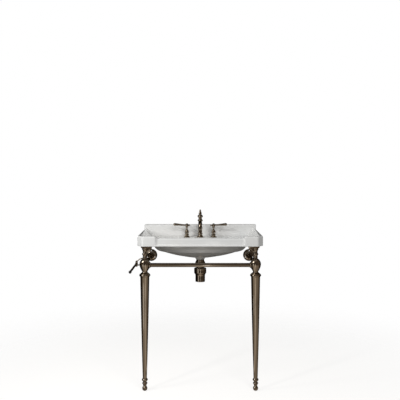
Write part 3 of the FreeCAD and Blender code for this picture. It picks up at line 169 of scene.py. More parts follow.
def rubber_pattern(tree, place):
    # Moulded rubber sheet: a fine sandy skin with a grain of about 0.5 mm, greyed with dust.
    grain = add(tree, "ShaderNodeTexNoise", None, {"Vector": place, "Scale": 1500.0, "Detail": 2.0})
    skin = add(tree, "ShaderNodeBump", None, {"Height": (grain, "Fac"), "Strength": 0.3, "Distance": 0.0003})
    dust = add(tree, "ShaderNodeTexNoise", None, {"Vector": place, "Scale": 80.0, "Detail": 4.0})
    tint = add(tree, "ShaderNodeMix", {"data_type": "RGBA"}, {
        "Factor": (dust, "Fac"), "A": paint("#1b1b1c"), "B": paint("#2b2a29")})
    return {"Normal": (skin, "Normal"), "Base Color": (tint, "Result")}


def black_tip_pattern(tree, place):
    # Injection-moulded tip: nearly black, with a faint spark-eroded grain.
    grain = add(tree, "ShaderNodeTexNoise", None, {"Vector": place, "Scale": 900.0, "Detail": 2.0})
    skin = add(tree, "ShaderNodeBump", None, {"Height": (grain, "Fac"), "Strength": 0.12, "Distance": 0.0002})
    rough = add(tree, "ShaderNodeMapRange", None, {"Value": (grain, "Fac"), "To Min": 0.28, "To Max": 0.4})
    tint = add(tree, "ShaderNodeMix", {"data_type": "RGBA"}, {
        "Factor": (grain, "Fac"), "A": paint("#0d0d0e"), "B": paint("#161616")})
    return {"Normal": (skin, "Normal"), "Roughness": (rough, "Result"), "Base Color": (tint, "Result")}


# Vitreous china with a sprayed, fired glaze: white, deep and wet-looking, soft at every edge.
glazed_china = finish("glazed_vitreous_china", {
    "IOR": 1.52, "Coat Weight": 0.3, "Coat Roughness": 0.04}, glaze_pattern)
# Cast and turned brass, nickel plated and mop polished: a dark, warm mirror that softens in patches.
polished_nickel = finish("polished_nickel_plate", {
    "Metallic": 1.0, "Specular Tint": paint("#a09484")}, polish_pattern)
# Turned brass left bare under the deck: dull gold, ringed by the tool.
bare_brass = finish("turned_bare_brass", {"Metallic": 1.0}, turned_brass_pattern)
# Steel studs and screws with a zinc plate: pale, even grey.
zinc_steel = finish("zinc_plated_steel", {"Metallic": 1.0}, zinc_pattern)
# Moulded rubber: black, matte, slightly dusty.
moulded_rubber = finish("moulded_rubber", {"Roughness": 0.75}, rubber_pattern)
# Moulded black plastic: satin, with soft highlights.
black_plastic = finish("moulded_black_plastic", {"IOR": 1.49}, black_tip_pattern)

FINISHES = {
    "glazed_ceramic": glazed_china,
    "polished_nickel": polished_nickel,
    "brass": bare_brass,
    "steel": zinc_steel,
    "rubber": moulded_rubber,
    "black_plastic": black_plastic,
}
slot_of = {entry["node"]: entry["material_slot"] for entry in frame["record"]["subparts"]}
for node_name, solid in frame["nodes"].items():
    coat = FINISHES[slot_of[node_name]]
    if not solid.material_slots:
        solid.data.materials.append(coat)
    for place_in_list in solid.material_slots:
        place_in_list.material = coat


# ---- turning and bending, as trees of geometry nodes ----
def begin_tree(name, inputs):
    """An empty tree of geometry nodes with named inputs and one shape as its output."""
    tree = bpy.data.node_groups.new(name, "GeometryNodeTree")
    for label, kind in inputs.items():
        tree.interface.new_socket(label, in_out="INPUT", socket_type="NodeSocket" + kind)
    tree.interface.new_socket("Shape", in_out="OUTPUT", socket_type="NodeSocketGeometry")
    return tree, add(tree, "NodeGroupInput")


def end_tree(tree, given, shape):
    """Makes the shape real, gives it its finish and sends it out."""
    real = add(tree, "GeometryNodeRealizeInstances", None, {"Geometry": shape})
    coated = add(tree, "GeometryNodeSetMaterial", None, {
        "Geometry": (real, 0), "Material": (given, "Finish")})
    add(tree, "NodeGroupOutput", None, {0: (coated, 0)})
    return tree


def turning_tree():
    """Turns an outline, the points of a line in the XZ plane, about the Z axis."""
    tree, given = begin_tree("turning", {"Outline": "Geometry", "Sides": "Int", "Finish": "Material"})
    count = add(tree, "GeometryNodeAttributeDomainSize", None, {"Geometry": (given, "Outline")})
    columns = add(tree, "ShaderNodeMath", None, {0: (given, "Sides"), 1: 1.0})
    sheet = add(tree, "GeometryNodeMeshGrid", None, {
        "Vertices X": (columns, 0), "Vertices Y": (count, "Point Count")})
    index = add(tree, "GeometryNodeInputIndex")
    row = add(tree, "ShaderNodeMath", {"operation": "MODULO"}, {0: (index, 0), 1: (count, "Point Count")})
    column = add(tree, "ShaderNodeMath", {"operation": "DIVIDE"}, {0: (index, 0), 1: (count, "Point Count")})
    column = add(tree, "ShaderNodeMath", {"operation": "FLOOR"}, {0: (column, 0)})
    point = add(tree, "GeometryNodeSampleIndex", {"data_type": "FLOAT_VECTOR"}, {
        "Geometry": (given, "Outline"),
        "Value": (add(tree, "GeometryNodeInputPosition"), 0),
        "Index": (row, 0),
    })
    parts = add(tree, "ShaderNodeSeparateXYZ", None, {0: (point, 0)})
    turn = add(tree, "ShaderNodeMath", {"operation": "DIVIDE"}, {0: (column, 0), 1: (given, "Sides")})
    turn = add(tree, "ShaderNodeMath", {"operation": "MULTIPLY"}, {0: (turn, 0), 1: 2 * math.pi})
    places = []
    for operation in ("COSINE", "SINE"):
        share = add(tree, "ShaderNodeMath", {"operation": operation}, {0: (turn, 0)})
        places.append(add(tree, "ShaderNodeMath", {"operation": "MULTIPLY"}, {0: (share, 0), 1: (parts, 0)}))
    where = add(tree, "ShaderNodeCombineXYZ", None, {0: (places[0], 0), 1: (places[1], 0), 2: (parts, 2)})
    bent = add(tree, "GeometryNodeSetPosition", None, {"Geometry": (sheet, "Mesh"), "Position": (where, 0)})
    sewn = add(tree, "GeometryNodeMergeByDistance", None, {"Geometry": (bent, 0), "Distance": 2e-6})
    return end_tree(tree, given, (sewn, 0))


def bending_tree():
    """Runs a round section along a line of points, with closed ends."""
    tree, given = begin_tree("bending", {
        "Line": "Geometry", "Radius": "Float", "Sides": "Int", "Finish": "Material"})
    line = add(tree, "GeometryNodeMeshToCurve", None, {"Mesh": (given, "Line")})
    circle = add(tree, "GeometryNodeCurvePrimitiveCircle", None, {
        "Resolution": (given, "Sides"), "Radius": (given, "Radius")})
    tube = add(tree, "GeometryNodeCurveToMesh", None, {
        "Curve": (line, 0), "Profile Curve": (circle, "Curve"), "Fill Caps": True})
    return end_tree(tree, given, (tube, 0))


TURNING = turning_tree()
BENDING = bending_tree()


def run_tree(tree, points, inputs):
    """The plain mesh that a tree makes from a line of points."""
    line = bpy.data.meshes.new("line")
    line.from_pydata(points, [(k, k + 1) for k in range(len(points) - 1)], [])
    holder = bpy.data.objects.new("holder", line)
    bpy.context.scene.collection.objects.link(holder)
    modifier = holder.modifiers.new("shape", "NODES")
    modifier.node_group = tree
    for item in tree.interface.items_tree:
        if item.item_type == "SOCKET" and item.in_out == "INPUT" and item.name in inputs:
            modifier[item.identifier] = inputs[item.name]
    bpy.context.view_layer.update()
    shaped = holder.evaluated_get(bpy.context.evaluated_depsgraph_get())
    mesh = bpy.data.meshes.new_from_object(shaped)
    holder.modifiers.remove(modifier)
    bpy.data.objects.remove(holder)
    # One finish in the first slot, so that meshes can be joined.
    mesh.materials.clear()
    mesh.materials.append(inputs["Finish"])
    mesh.polygons.foreach_set("material_index", [0] * len(mesh.polygons))
    return mesh


# ---- outlines ----
def drawn(points, step=0.12):
    """Points of an outline. A third number bows the side that ends there to its right, by that much."""
    line = [points[0][:2]]
    for start, end in zip(points[:-1], points[1:]):
        if len(end) == 3 and abs(end[2]) > 1e-6:
            du, dv = end[0] - start[0], end[1] - start[1]
            chord = math.hypot(du, dv)
            bow = end[2]
            radius = (chord * chord / 4 + bow * bow) / (2 * abs(bow))
            half = 2 * math.atan(2 * abs(bow) / chord)
            count = max(4, int(2 * half / step))
            for k in range(1, count):
                swing = -half + 2 * half * k / count
                along = radius * math.sin(swing)
                off = radius * (math.cos(swing) - math.cos(half))
                side = math.copysign(1, bow)
                line.append((
                    (start[0] + end[0]) / 2 + du / chord * along + dv / chord * off * side,
                    (start[1] + end[1]) / 2 + dv / chord * along - du / chord * off * side,
                ))
        line.append(end[:2])
    return line


def dome(radius, foot, height):
    """Last point of an outline that ends in a round top."""
    sphere = (radius ** 2 + height ** 2) / (2 * height)
    return 0, foot + height, sphere * (1 - math.cos(math.atan(height / radius)))


def soft_corners(points, width=0.5, sharp=0.5):
    """Breaks the sharp corners of an outline by a small width, as polishing does."""
    line = drawn(points)
    out = [line[0]]
    for before, here, after in zip(line[:-2], line[1:-1], line[2:]):
        into = Vector((here[0] - before[0], here[1] - before[1]))
        away = Vector((after[0] - here[0], after[1] - here[1]))
        if min(into.length, away.length) < 1e-6 or into.angle(away) < sharp:
            out.append(here)
            continue
        cut = min(width, into.length * 0.45, away.length * 0.45)
        first = Vector(here) - into.normalized() * cut
        last = Vector(here) + away.normalized() * cut
        middle = (first + last) * 0.5 * 0.5 + Vector(here) * 0.5
        out += [tuple(first), tuple(middle), tuple(last)]
    out.append(line[-1])
    return out


# ---- placing pieces ----
def piece(name, mesh, body, nodes, slot="polished_nickel", sharp=40):
    """Makes a shown object of a mesh that is already in its place, in metres."""
    mesh.name = name
    if not mesh.materials:
        mesh.materials.append(FINISHES[slot])
    mesh.shade_smooth()
    mesh.set_sharp_from_angle(angle=math.radians(sharp))
    made = bpy.data.objects.new(name, mesh)
    bpy.context.scene.collection.objects.link(made)
    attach(made, body)
    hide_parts(*nodes)


def aim(foot, direction):
    """Matrix that takes a piece turned about Z to a foot, in millimetres, and a direction."""
    turn = Vector((0, 0, 1)).rotation_difference(Vector(direction)).to_matrix().to_4x4()
    where = Vector((foot[0], foot[1], foot[2] - BOLT_HEIGHT)) * MM
    return Matrix.Translation(where) @ turn


def turned_mesh(points, foot=(0, 0, 0), direction=(0, 0, 1), slot="polished_nickel", sides=72, soft=0.5):
    """Mesh turned from an outline of (radius, height along the axis)."""
    line = [(r * MM, 0, h * MM) for r, h in soft_corners(points, soft)]
    mesh = outward(run_tree(TURNING, line, {"Sides": sides, "Finish": FINISHES[slot]}))
    mesh.transform(aim(foot, direction))
    return mesh


def bent_mesh(points, radius, slot="polished_nickel", sides=40):
    """Round bar along a line of points."""
    line = [(x * MM, y * MM, (h - BOLT_HEIGHT) * MM) for x, y, h in points]
    mesh = run_tree(BENDING, line, {"Sides": sides, "Radius": radius * MM, "Finish": FINISHES[slot]})
    return outward(mesh)


def outward(mesh):
    """Sews a mesh together and turns its faces outwards."""
    shell = bmesh.new()
    shell.from_mesh(mesh)
    bmesh.ops.remove_doubles(shell, verts=shell.verts, dist=1e-6)
    bmesh.ops.recalc_face_normals(shell, faces=shell.faces)
    shell.to_mesh(mesh)
    shell.free()
    return mesh


def joined(meshes):
    """One mesh of several."""
    shell = bmesh.new()
    for mesh in meshes:
        shell.from_mesh(mesh)
    whole = bpy.data.meshes.new("joined")
    shell.to_mesh(whole)
    shell.free()
    for material in meshes[0].materials:
        whole.materials.append(material)
    return whole


def plate_mesh(outline, low, high, place, soft=1.5, slot="polished_nickel"):
    """Plate cut to an outline, from low to high, with its edges rounded; place(u, v, w) gives the point."""
    shell = bmesh.new()
    foot = [shell.verts.new(Vector(place(u, v, low)) * MM) for u, v in outline]
    head = [shell.verts.new(Vector(place(u, v, high)) * MM) for u, v in outline]
    shell.faces.new(foot)
    shell.faces.new(head)
    for k in range(len(outline)):
        m = (k + 1) % len(outline)
        shell.faces.new((foot[k], foot[m], head[m], head[k]))
    bmesh.ops.recalc_face_normals(shell, faces=shell.faces)
    edges = [e for e in shell.edges if e.calc_face_angle(0) > math.radians(40)]
    bmesh.ops.bevel(shell, geom=edges, offset=soft * MM, segments=3, profile=0.5, affect="EDGES")
    mesh = bpy.data.meshes.new("plate")
    shell.to_mesh(mesh)
    shell.free()
    mesh.transform(Matrix.Translation((0, 0, -BOLT_HEIGHT * MM)))
    mesh.materials.append(FINISHES[slot])
    return mesh


# ---- basin ----
HALF_WIDTH = 350
DEPTH = 500
CANT_WIDTH = 30             # the cut front corners, sideways
CANT_DEPTH = 48             # and front to back
CORNER_RADIUS = 14
RIM = 866
TRAY = 822
UNDER = 810
UPSTAND_TOP = 896
UPSTAND_FACE = -28
FASCIA_HALF = 252           # half width of the front between its corner blocks
FASCIA_BLEND = 18
FASCIA_RECESS = 7
FASCIA_DIP = 11
BOWL_Y = -280
BOWL_INSIDE = (261, 152)    # half width and half depth
BOWL_OUTSIDE = (274, 165)
HANGER_HALF = 200
FIXING_HALF = 140           # from the middle to a wall bolt


def plan_ring(side, front, back, radius=CORNER_RADIUS):
    """Ring of points round the basin's plan, drawn in by three amounts, always the same points in order."""
    half = HALF_WIDTH - side
    front_half = half - CANT_WIDTH * (CANT_DEPTH - front) / CANT_DEPTH
    cant = CANT_DEPTH - DEPTH
    corners = [
        (half, -back), (-half, -back), (-half, cant),
        (-front_half, front - DEPTH), (front_half, front - DEPTH), (half, cant),
    ]
    back_run = np.linspace(0, 1, 49)
    side_run = np.linspace(0, 1, 41)
    cant_run = np.linspace(0, 1, 9)
    front_run = np.concatenate([
        np.linspace(0, 0.06, 5)[:-1], np.linspace(0.06, 0.16, 25)[:-1], np.linspace(0.16, 0.84, 45)[:-1],
        np.linspace(0.84, 0.94, 25)[:-1], np.linspace(0.94, 1, 5),
    ])
    runs = [back_run, side_run, cant_run, front_run, cant_run, side_run]
    arcs = []
    for k in range(6):
        before, here, after = (Vector(corners[(k + m) % 6]) for m in (-1, 0, 1))
        into = (here - before).normalized()
        away = (after - here).normalized()
        turn = into.angle(away)
        cut = radius * math.tan(turn / 2)
        start, end = here - into * cut, here + away * cut
        middle = start + Vector((-into.y, into.x)) * radius
        first = math.atan2(start.y - middle.y, start.x - middle.x)
        arcs.append([
            (middle.x + radius * math.cos(first + turn * s), middle.y + radius * math.sin(first + turn * s))
            for s in np.linspace(0, 1, 9)
        ])
    ring = []
    for k in range(6):
        start, end = Vector(arcs[k][-1]), Vector(arcs[(k + 1) % 6][0])
        ring += arcs[k][:-1]
        ring += [tuple(start.lerp(end, s)) for s in runs[k][:-1]]
    return np.array(ring)


def smooth(t):
    """Eases from 0 to 1."""
    t = np.clip(t, 0, 1)
    return t * t * (3 - 2 * t)


def basin_shell():
    """The basin's closed skin, as rings from the drain over the bowl, tray, rim, apron and underside."""
    outside = plan_ring(0, 0, 0)
    top_inside = plan_ring(15, 22, 28)
    foot = plan_ring(50, 37, 34)
    fascia = smooth((FASCIA_HALF - np.abs(outside[:, 0])) / FASCIA_BLEND) * (outside[:, 1] < 20 - DEPTH)
    recess = FASCIA_RECESS * fascia
    top = RIM - FASCIA_DIP * fascia
    reach = np.where(foot[:, 1] > BOWL_Y, 246.0, 183.0)
    angle = np.arctan2((foot[:, 1] - BOWL_Y) / reach, foot[:, 0] / 300)

    def oval(width, shape):
        """Ring of the bowl at a half width: round near the drain, oval higher up."""
        share = smooth((width - 40) / 70)
        depth = width * (1 + (shape - 1) * share)
        return np.stack([width * np.cos(angle), BOWL_Y + depth * np.sin(angle)], 1)

    rings = []

    def at(plan, height):
        return np.column_stack([plan, np.broadcast_to(height, len(plan))])

    def ring(plan, height):
        rings.append(at(plan, height))

    def corner(first, middle, last, count=6):
        """Rounded corner between three rings of points."""
        for s in np.linspace(0, 1, count):
            rings.append((1 - s) ** 2 * first + 2 * s * (1 - s) * middle + s * s * last)

    # The drain, the bowl and its lip.
    inner = BOWL_INSIDE[1] / BOWL_INSIDE[0]
    ring(oval(20, 1), 726)
    ring(oval(20, 1), 735.2)
    ring(oval(33, 1), 735.8)
    dish = drawn([(33, 738.2), (213.4, 770), (259.5, 812, 11.5)], 0.06)
    arc = drawn([(0, 737), (213.4, 769.7, 8.2)], 0.01)
    dish = [p for p in arc if p[0] > 34] + dish[2:]
    for width, height in dish:
        ring(oval(width, inner), height)
    edge = oval(BOWL_INSIDE[0] + 11, inner)
    corner(at(oval(259.8, inner), 813), at(oval(261.5, inner), TRAY), at(edge, TRAY + 0.2), 7)
    # The tray, its side walls and the rim.
    inward = foot + (edge - foot) * (10 / np.linalg.norm(edge - foot, axis=1))[:, None]
    for s in (0.15, 0.35, 0.6, 0.85):
        ring(edge + (inward - edge) * s, TRAY + 0.2 + 0.6 * s)
    foot_point, top_point = at(foot, TRAY + 0.8), at(top_inside, top)
    wall = top_point - foot_point
    corner(at(inward, TRAY + 0.8), foot_point, foot_point + wall * 0.26, 7)
    rings.append(foot_point + wall * 0.55)
    outer_edge = outside.copy()
    outer_edge[:, 1] += recess
    across = at(outer_edge, top) - top_point
    width = np.linalg.norm(across, axis=1)[:, None]
    corner(foot_point + wall * 0.86, top_point, top_point + across * (5 / width), 5)
    corner(at(outer_edge, top) - across * (9 / width), at(outer_edge, top), at(outer_edge, top - 9), 9)
    # The apron, with the small bead under the drawn-in front.
    ring(outer_edge, (top + 820) / 2)
    ring(outer_edge, 820.5)
    bead = outside + (outer_edge - outside) * 0.3
    ring(bead, 818.6)
    ring(outside + (outer_edge - outside) * 0.03, 816.4)
    ring(outside, 813)
    under_edge = plan_ring(2.6, 2.6, 2.6)
    corner(at(outside, 812.6), at(outside, UNDER), at(under_edge, UNDER), 5)
    # The underside, the bowl's outside and the boss round the drain.
    outer = BOWL_OUTSIDE[1] / BOWL_OUTSIDE[0]
    bowl_edge = oval(281, outer)
    ring(under_edge + (bowl_edge - under_edge) * 0.5, UNDER)
    corner(at(bowl_edge, UNDER), at(oval(BOWL_OUTSIDE[0], outer), UNDER), at(oval(273.4, outer), 802), 6)
    flank = drawn([(273.5, 803), (224, 762, -12.2)], 0.06)
    belly = drawn([(224, 762.2, 0), (0, 724, -9.5)], 0.01)
    for width, height in flank[1:] + [p for p in belly[1:] if p[0] > 34]:
        ring(oval(width, outer), height)
    boss = [(31.5, 725.6), (29.2, 722, -0.8), (28, 717), (25, 713.2, 1.2), (20.2, 713)]
    for width, height in drawn(boss, 0.3):
        ring(oval(width, 1), height)

    count, columns = len(rings), len(rings[0])
    points = np.concatenate(rings)
    faces = []
    for k in range(count):
        m = (k + 1) % count
        for j in range(columns):
            n = (j + 1) % columns
            faces.append((k * columns + j, m * columns + j, m * columns + n, k * columns + n))
    return points, faces


def upstand_shell():
    """The raised back: a rounded slab whose front flows down in a cove to the rims and the tray."""
    xs = np.concatenate([
        HALF_WIDTH - 4 * (1 - np.cos(np.linspace(0, math.pi / 2, 6))), np.linspace(346, 338, 6)[1:],
        np.linspace(337, 298, 14), np.linspace(290, 0, 24),
    ])
    xs = np.concatenate([xs, -xs[::-1][1:]])[::-1]
    sections = []
    for x in xs:
        a = abs(x)
        ease = 4 - math.sqrt(max(0, 16 - max(0, a - 346) ** 2))
        roll = 10 - math.sqrt(max(0, 100 - max(0, a - 340) ** 2))
        base = TRAY + 1 + (RIM - TRAY - 1) * min(1, max(0, (a - 300) / 35)) - roll
        cove = 14 if a > 335 else 14 + 6 * min(1, (335 - a) / 35)
        top, face = UPSTAND_TOP - ease, UPSTAND_FACE + ease
        # Below the rim the slab runs inside the basin, so that only one face shows.
        sunk = max(-338, min(338, x))
        section = [(-0.4, 838), (-0.4, 850), (0, 857)]
        quarter = np.linspace(0, math.pi / 2, 6)
        section += [(-4 + 4 * math.cos(t), top - 4 + 4 * math.sin(t)) for t in quarter]
        section += [(face + 4 - 4 * math.sin(t), top - 4 + 4 * math.cos(t)) for t in quarter]
        section += [
            (face - cove + cove * math.cos(t), base + cove - cove * math.sin(t))
            for t in np.linspace(0, math.pi / 2, 10)
        ]
        section.append((face - cove, base - 14))
        sections.append([(x if z > RIM - 9.5 else sunk, y, z) for y, z in section])
    rows, size = len(sections), len(sections[0])
    points = np.array([p for section in sections for p in section])
    faces = []
    for k in range(rows - 1):
        for s in range(size):
            n = (s + 1) % size
            faces.append((k * size + s, k * size + n, (k + 1) * size + n, (k + 1) * size + s))
    faces.append(tuple(range(size - 1, -1, -1)))
    faces.append(tuple((rows - 1) * size + s for s in range(size)))
    return points, faces


def china_mesh(points, faces):
    """Mesh of a skin given in the drawing's millimetres."""
    mesh = bpy.data.meshes.new("china")
    shifted = (points - np.array([0, 0, BOLT_HEIGHT])) * MM
    mesh.from_pydata([tuple(p) for p in shifted], [], faces)
    return outward(mesh)


def bored(mesh, cutters):
    """Cuts holes in a mesh with other meshes."""
    subject = bpy.data.objects.new("subject", mesh)
    bpy.context.scene.collection.objects.link(subject)
    tools = []
    for cutter in cutters:
        tool = bpy.data.objects.new("tool", cutter)
        bpy.context.scene.collection.objects.link(tool)
        modifier = subject.modifiers.new("bore", "BOOLEAN")
        modifier.operation = "DIFFERENCE"
        modifier.solver = "EXACT"
        modifier.object = tool
        tools.append(tool)
    bpy.context.view_layer.update()
    shaped = subject.evaluated_get(bpy.context.evaluated_depsgraph_get())
    result = bpy.data.meshes.new_from_object(shaped)
    for unwanted in [subject, *tools]:
        bpy.data.objects.remove(unwanted)
    return result


def make_basin():
    """One china piece: skin with overflow hole, raised back, wall hanger with two holes, overflow duct."""
    shell = china_mesh(*basin_shell())
    mouth = [(0, 0), (9, 0), (8, 2), (8, 20), (0, 20)]
    overflow = turned_mesh(mouth, (0, -142, 778), (0, 1, 0), "glazed_ceramic", 40)
    shell = bored(shell, [overflow])
    raised = china_mesh(*upstand_shell())
    slab = [(-HANGER_HALF, 745), (HANGER_HALF, 745), (HANGER_HALF, 816), (-HANGER_HALF, 816)]
    hanger = plate_mesh(slab, UPSTAND_FACE, -0.3, lambda x, z, y: (x, y, z), 4, "glazed_ceramic")
    hole = [(0, 0), (7, 0), (7, 40), (0, 40)]
    holes = [
        turned_mesh(hole, (x, -34, BOLT_HEIGHT), (0, 1, 0), "glazed_ceramic", 40)
        for x in (-FIXING_HALF, FIXING_HALF)
    ]
    hanger = bored(hanger, holes)
    duct_outline = [
        (-109, 794), (-109, 768), (-144, 738), (-201, 715), (-262, 715), (-262, 729), (-200, 743),
        (-146, 768), (-127, 794),
    ]
    duct = plate_mesh(duct_outline, -20, 20, lambda y, z, x: (x, y, z), 5, "glazed_ceramic")
    whole = joined([shell, raised, hanger, duct])
    whole.materials.clear()
    whole.materials.append(glazed_china)
    piece("basin_china", whole, STAND, ["basin"], "glazed_ceramic", 50)


# ---- stand ----
LEG_X = 309.5
LEG_Y = -440
ARM_X = -LEG_X - 46         # the towel arm's pin
BAR = 701
LEG_TOP = 665
BALL_TOP = 737.4
POST_TOP = 798
PLATE_TOP = 808.3


def make_leg(side, name):
    """Levelling foot, turned leg, ball with its collars, and turned post; the left ball has the arm's lug."""
    where = (side * LEG_X, LEG_Y, 0)
    foot = [
        (0, 0), (6, 0), (14.2, 13.5, 2.3), (8.5, 25, 1.5), (9.6, 27), (9.8, 31, -0.3),
        (11.2, 34, -0.5), (11.2, 36), (5, 36), (5, 68), (0, 68),
    ]
    piece(f"{name}_levelling_foot", turned_mesh(foot, where), f"{name}_foot", [f"{name}_foot"])
    leg = [
        (0, 36.3), (11.5, 36.3), (11.5, 37.3), (11.5, 45.8, 3.3), (10.5, 48.3), (10.5, 52.8, -0.3),
        (13, 54.8), (13, 67.3, 3.5), (11.8, 69.3), (11.8, 76.3, -0.2), (25.3, 634, 0.85),
        (26.8, 637.5), (28, 638.5), (28.5, 650, 2.7), (27.2, 651.2), (25.6, 653.6, -0.4), (14.5, 664, -1),
        (14.5, LEG_TOP), (0, LEG_TOP),
    ]
    piece(f"{name}_turned_leg", turned_mesh(leg, where, sides=96), STAND, [f"{name}_leg"])
    urn = [
        (0, LEG_TOP), (14.5, LEG_TOP), (16, 667.5, 0.3), (30, 703, 2.2), (12, BALL_TOP, 5.5), (0, BALL_TOP),
    ]
    meshes = [turned_mesh(urn, where, sides=96)]
    collar_x = [(0, 24), (15.2, 24), (15.2, 30.5, 0.6), (12.6, 33), (11.5, 33), (0, 33)]
    meshes.append(turned_mesh(collar_x, (side * LEG_X, LEG_Y, BAR), (-side, 0, 0)))
    collar_y = [(0, 24), (13.6, 24), (13.6, 30.5, 0.6), (11, 33), (10, 33), (0, 33)]
    meshes.append(turned_mesh(collar_y, (side * LEG_X, LEG_Y, BAR), (0, 1, 0)))
    if side < 0:
        low = BAR - 3.5
        boss = [(0, low), (6.2, low), (6.5, low + 0.5), (6.5, low + 6.5), (6.2, low + 7), (0, low + 7)]
        meshes.append(turned_mesh(boss, (ARM_X, LEG_Y, 0)))
        meshes.append(bent_mesh([(-LEG_X - 24, LEG_Y, BAR), (ARM_X + 4, LEG_Y, BAR)], 3.5))
    piece(f"{name}_ball", joined(meshes), STAND, [f"{name}_ball_fitting"])
    post = [
        (0, BALL_TOP), (12, BALL_TOP), (12, 739), (11.4, 741), (11.4, 753), (12.2, 756.4), (12.2, 768.4, 3.3),
        (11.4, 771), (11.8, 779), (14.5, 786, -0.5), (15.6, 787), (15.6, 789, 0.6), (20.5, POST_TOP, -1.6),
        (0, POST_TOP),
    ]
    piece(f"{name}_turned_post", turned_mesh(post, where, sides=80), STAND, [f"{name}_post"])


def make_bracket(side, name):
    """Plate under the basin, scroll with turned rosettes behind the post, and corbel beside it."""
    x_out, x_in = side * (LEG_X + 20.5), side * (LEG_X - 40)
    front, back = LEG_Y - 21, LEG_Y + 92
    plate = [(x_out, front), (x_out, back), (x_in, back), (x_in, front)]
    meshes = [plate_mesh(plate, POST_TOP, PLATE_TOP, lambda x, y, z: (x, y, z), 2.2)]
    tail = LEG_Y + 86
    outline = drawn([
        (LEG_Y, 799.5), (LEG_Y, 743.4), (LEG_Y + 14, 743.4), (LEG_Y + 32, 753.4, 6),
        (tail - 16, 776, -7), (tail, 799.5, 11),
    ])
    low, high = side * LEG_X - 11, side * LEG_X + 11
    meshes.append(plate_mesh(outline, low, high, lambda y, z, x: (x, y, z), 2.5))
    for y, z, radius in ((tail - 10, 787, 10), (LEG_Y + 22, 752.4, 8)):
        rosette = [
            (0, -13), (radius * 0.35, -13, 0.6), (radius * 0.5, -11.6), (radius * 0.8, -12.4, 0.4),
            (radius, -11, 0.4), (radius, 11), (radius * 0.8, 12.4, 0.4), (radius * 0.5, 11.6),
            (radius * 0.35, 13), (0, 13, 0.6),
        ]
        meshes.append(turned_mesh(rosette, (side * LEG_X, y, z), (1, 0, 0), sides=48, soft=0.3))
    nose = LEG_X - 38.5
    corbel = drawn([
        (LEG_X - 8, 799), (nose, 799), (nose, 794), (nose + 6, 790, 2), (LEG_X - 15, 772, -3),
        (LEG_X - 8, 772),
    ])
    meshes.append(plate_mesh(corbel, LEG_Y - 8, LEG_Y + 8, lambda x, z, y: (side * x, y, z), 1.6))
    piece(f"{name}_scroll_bracket", joined(meshes), STAND, [f"{name}_bracket"])


def make_rails():
    """Crossbar between the balls, and a tube from each ball back to the wall."""
    end = LEG_X - 18
    cross = [(0, -end), (11.5, -end), (11.5, end), (0, end)]
    piece("cross_rail", turned_mesh(cross, (0, LEG_Y, BAR), (1, 0, 0), sides=72), STAND, ["crossbar"])
    for side, name in ((-1, "left"), (1, "right")):
        rail = [(0, 18), (10, 18), (10, -LEG_Y - 6), (0, -LEG_Y - 6)]
        mesh = turned_mesh(rail, (side * LEG_X, LEG_Y, BAR), (0, 1, 0), sides=64)
        piece(f"{name}_side_rail", mesh, STAND, [f"{name}_side_tube"])


def make_towel_arm():
    """Arm with its eye and black tip, the pin it swings on, and the stay that holds the pin's head."""
    x, y = ARM_X, LEG_Y
    eye_low, eye_high = 704.8, 714.8
    middle = (eye_low + eye_high) / 2
    eye = [
        (0, eye_low), (7, eye_low), (7.5, eye_low + 0.8), (7.5, eye_high - 0.8), (7, eye_high), (0, eye_high),
    ]
    reach = 296
    rod = [
        (0, 3), (3.8, 3), (3.8, 8.5), (4.6, 10, 0.3), (4.4, 12), (5.5, 40, 0.3), (5.5, reach - 3),
        (6.3, reach - 2), (6.3, reach), (0, reach),
    ]
    meshes = [turned_mesh(eye, (x, y, 0), sides=56, soft=0.3), turned_mesh(rod, (x, y, middle), (0, -1, 0))]
    piece("swinging_towel_arm", joined(meshes), "towel_arm", ["towel_arm"])
    tip = [(0, 0), (5.5, 0), (7.3, 6, -0.6), (7.3, 14, 0.4), dome(7.3, 14, 6)]
    mesh = turned_mesh(tip, (x, y - reach, middle), (0, -1, 0), "black_plastic")
    piece("black_arm_tip", mesh, "towel_arm", ["towel_arm_tip"], "black_plastic")
    low = 697.5
    top = 722.1
    pin = [
        (0, low - 6), (2.5, low - 6), (5, low - 3.5, 1), (5, low), (3, low), (3, top), (4.5, top),
        (4.5, top + 1.5), (3, top + 2.5), dome(3, top + 2.5, 2),
    ]
    piece("arm_pin", turned_mesh(pin, (x, y, 0), sides=48, soft=0.3), STAND, ["towel_arm_pin"])
    ring = [(12, BALL_TOP), (15.5, BALL_TOP), (15.5, BALL_TOP + 4), (12, BALL_TOP + 4), (12, BALL_TOP)]
    boss = [(0, 715.1), (6.2, 715.1), (6.5, 715.6), (6.5, 721.6), (6.2, top), (0, top)]
    meshes = [turned_mesh(ring, (-LEG_X, y, 0)), turned_mesh(boss, (x, y, 0), sides=56)]
    start, end = (-LEG_X - 14, BALL_TOP + 2), (x, 718.6)
    line = drawn([start, (*end, 3)], 0.08)
    meshes.append(bent_mesh([(u, y, v) for u, v in line], 3))
    piece("arm_stay", joined(meshes), STAND, ["towel_arm_stay"])


# ---- taps ----
TAP_X = 82.5
TAP_Y = -90
LINK = 786                  # axis of the tubes between the taps
HUB = 889
LEVER_RISE = math.radians(4)


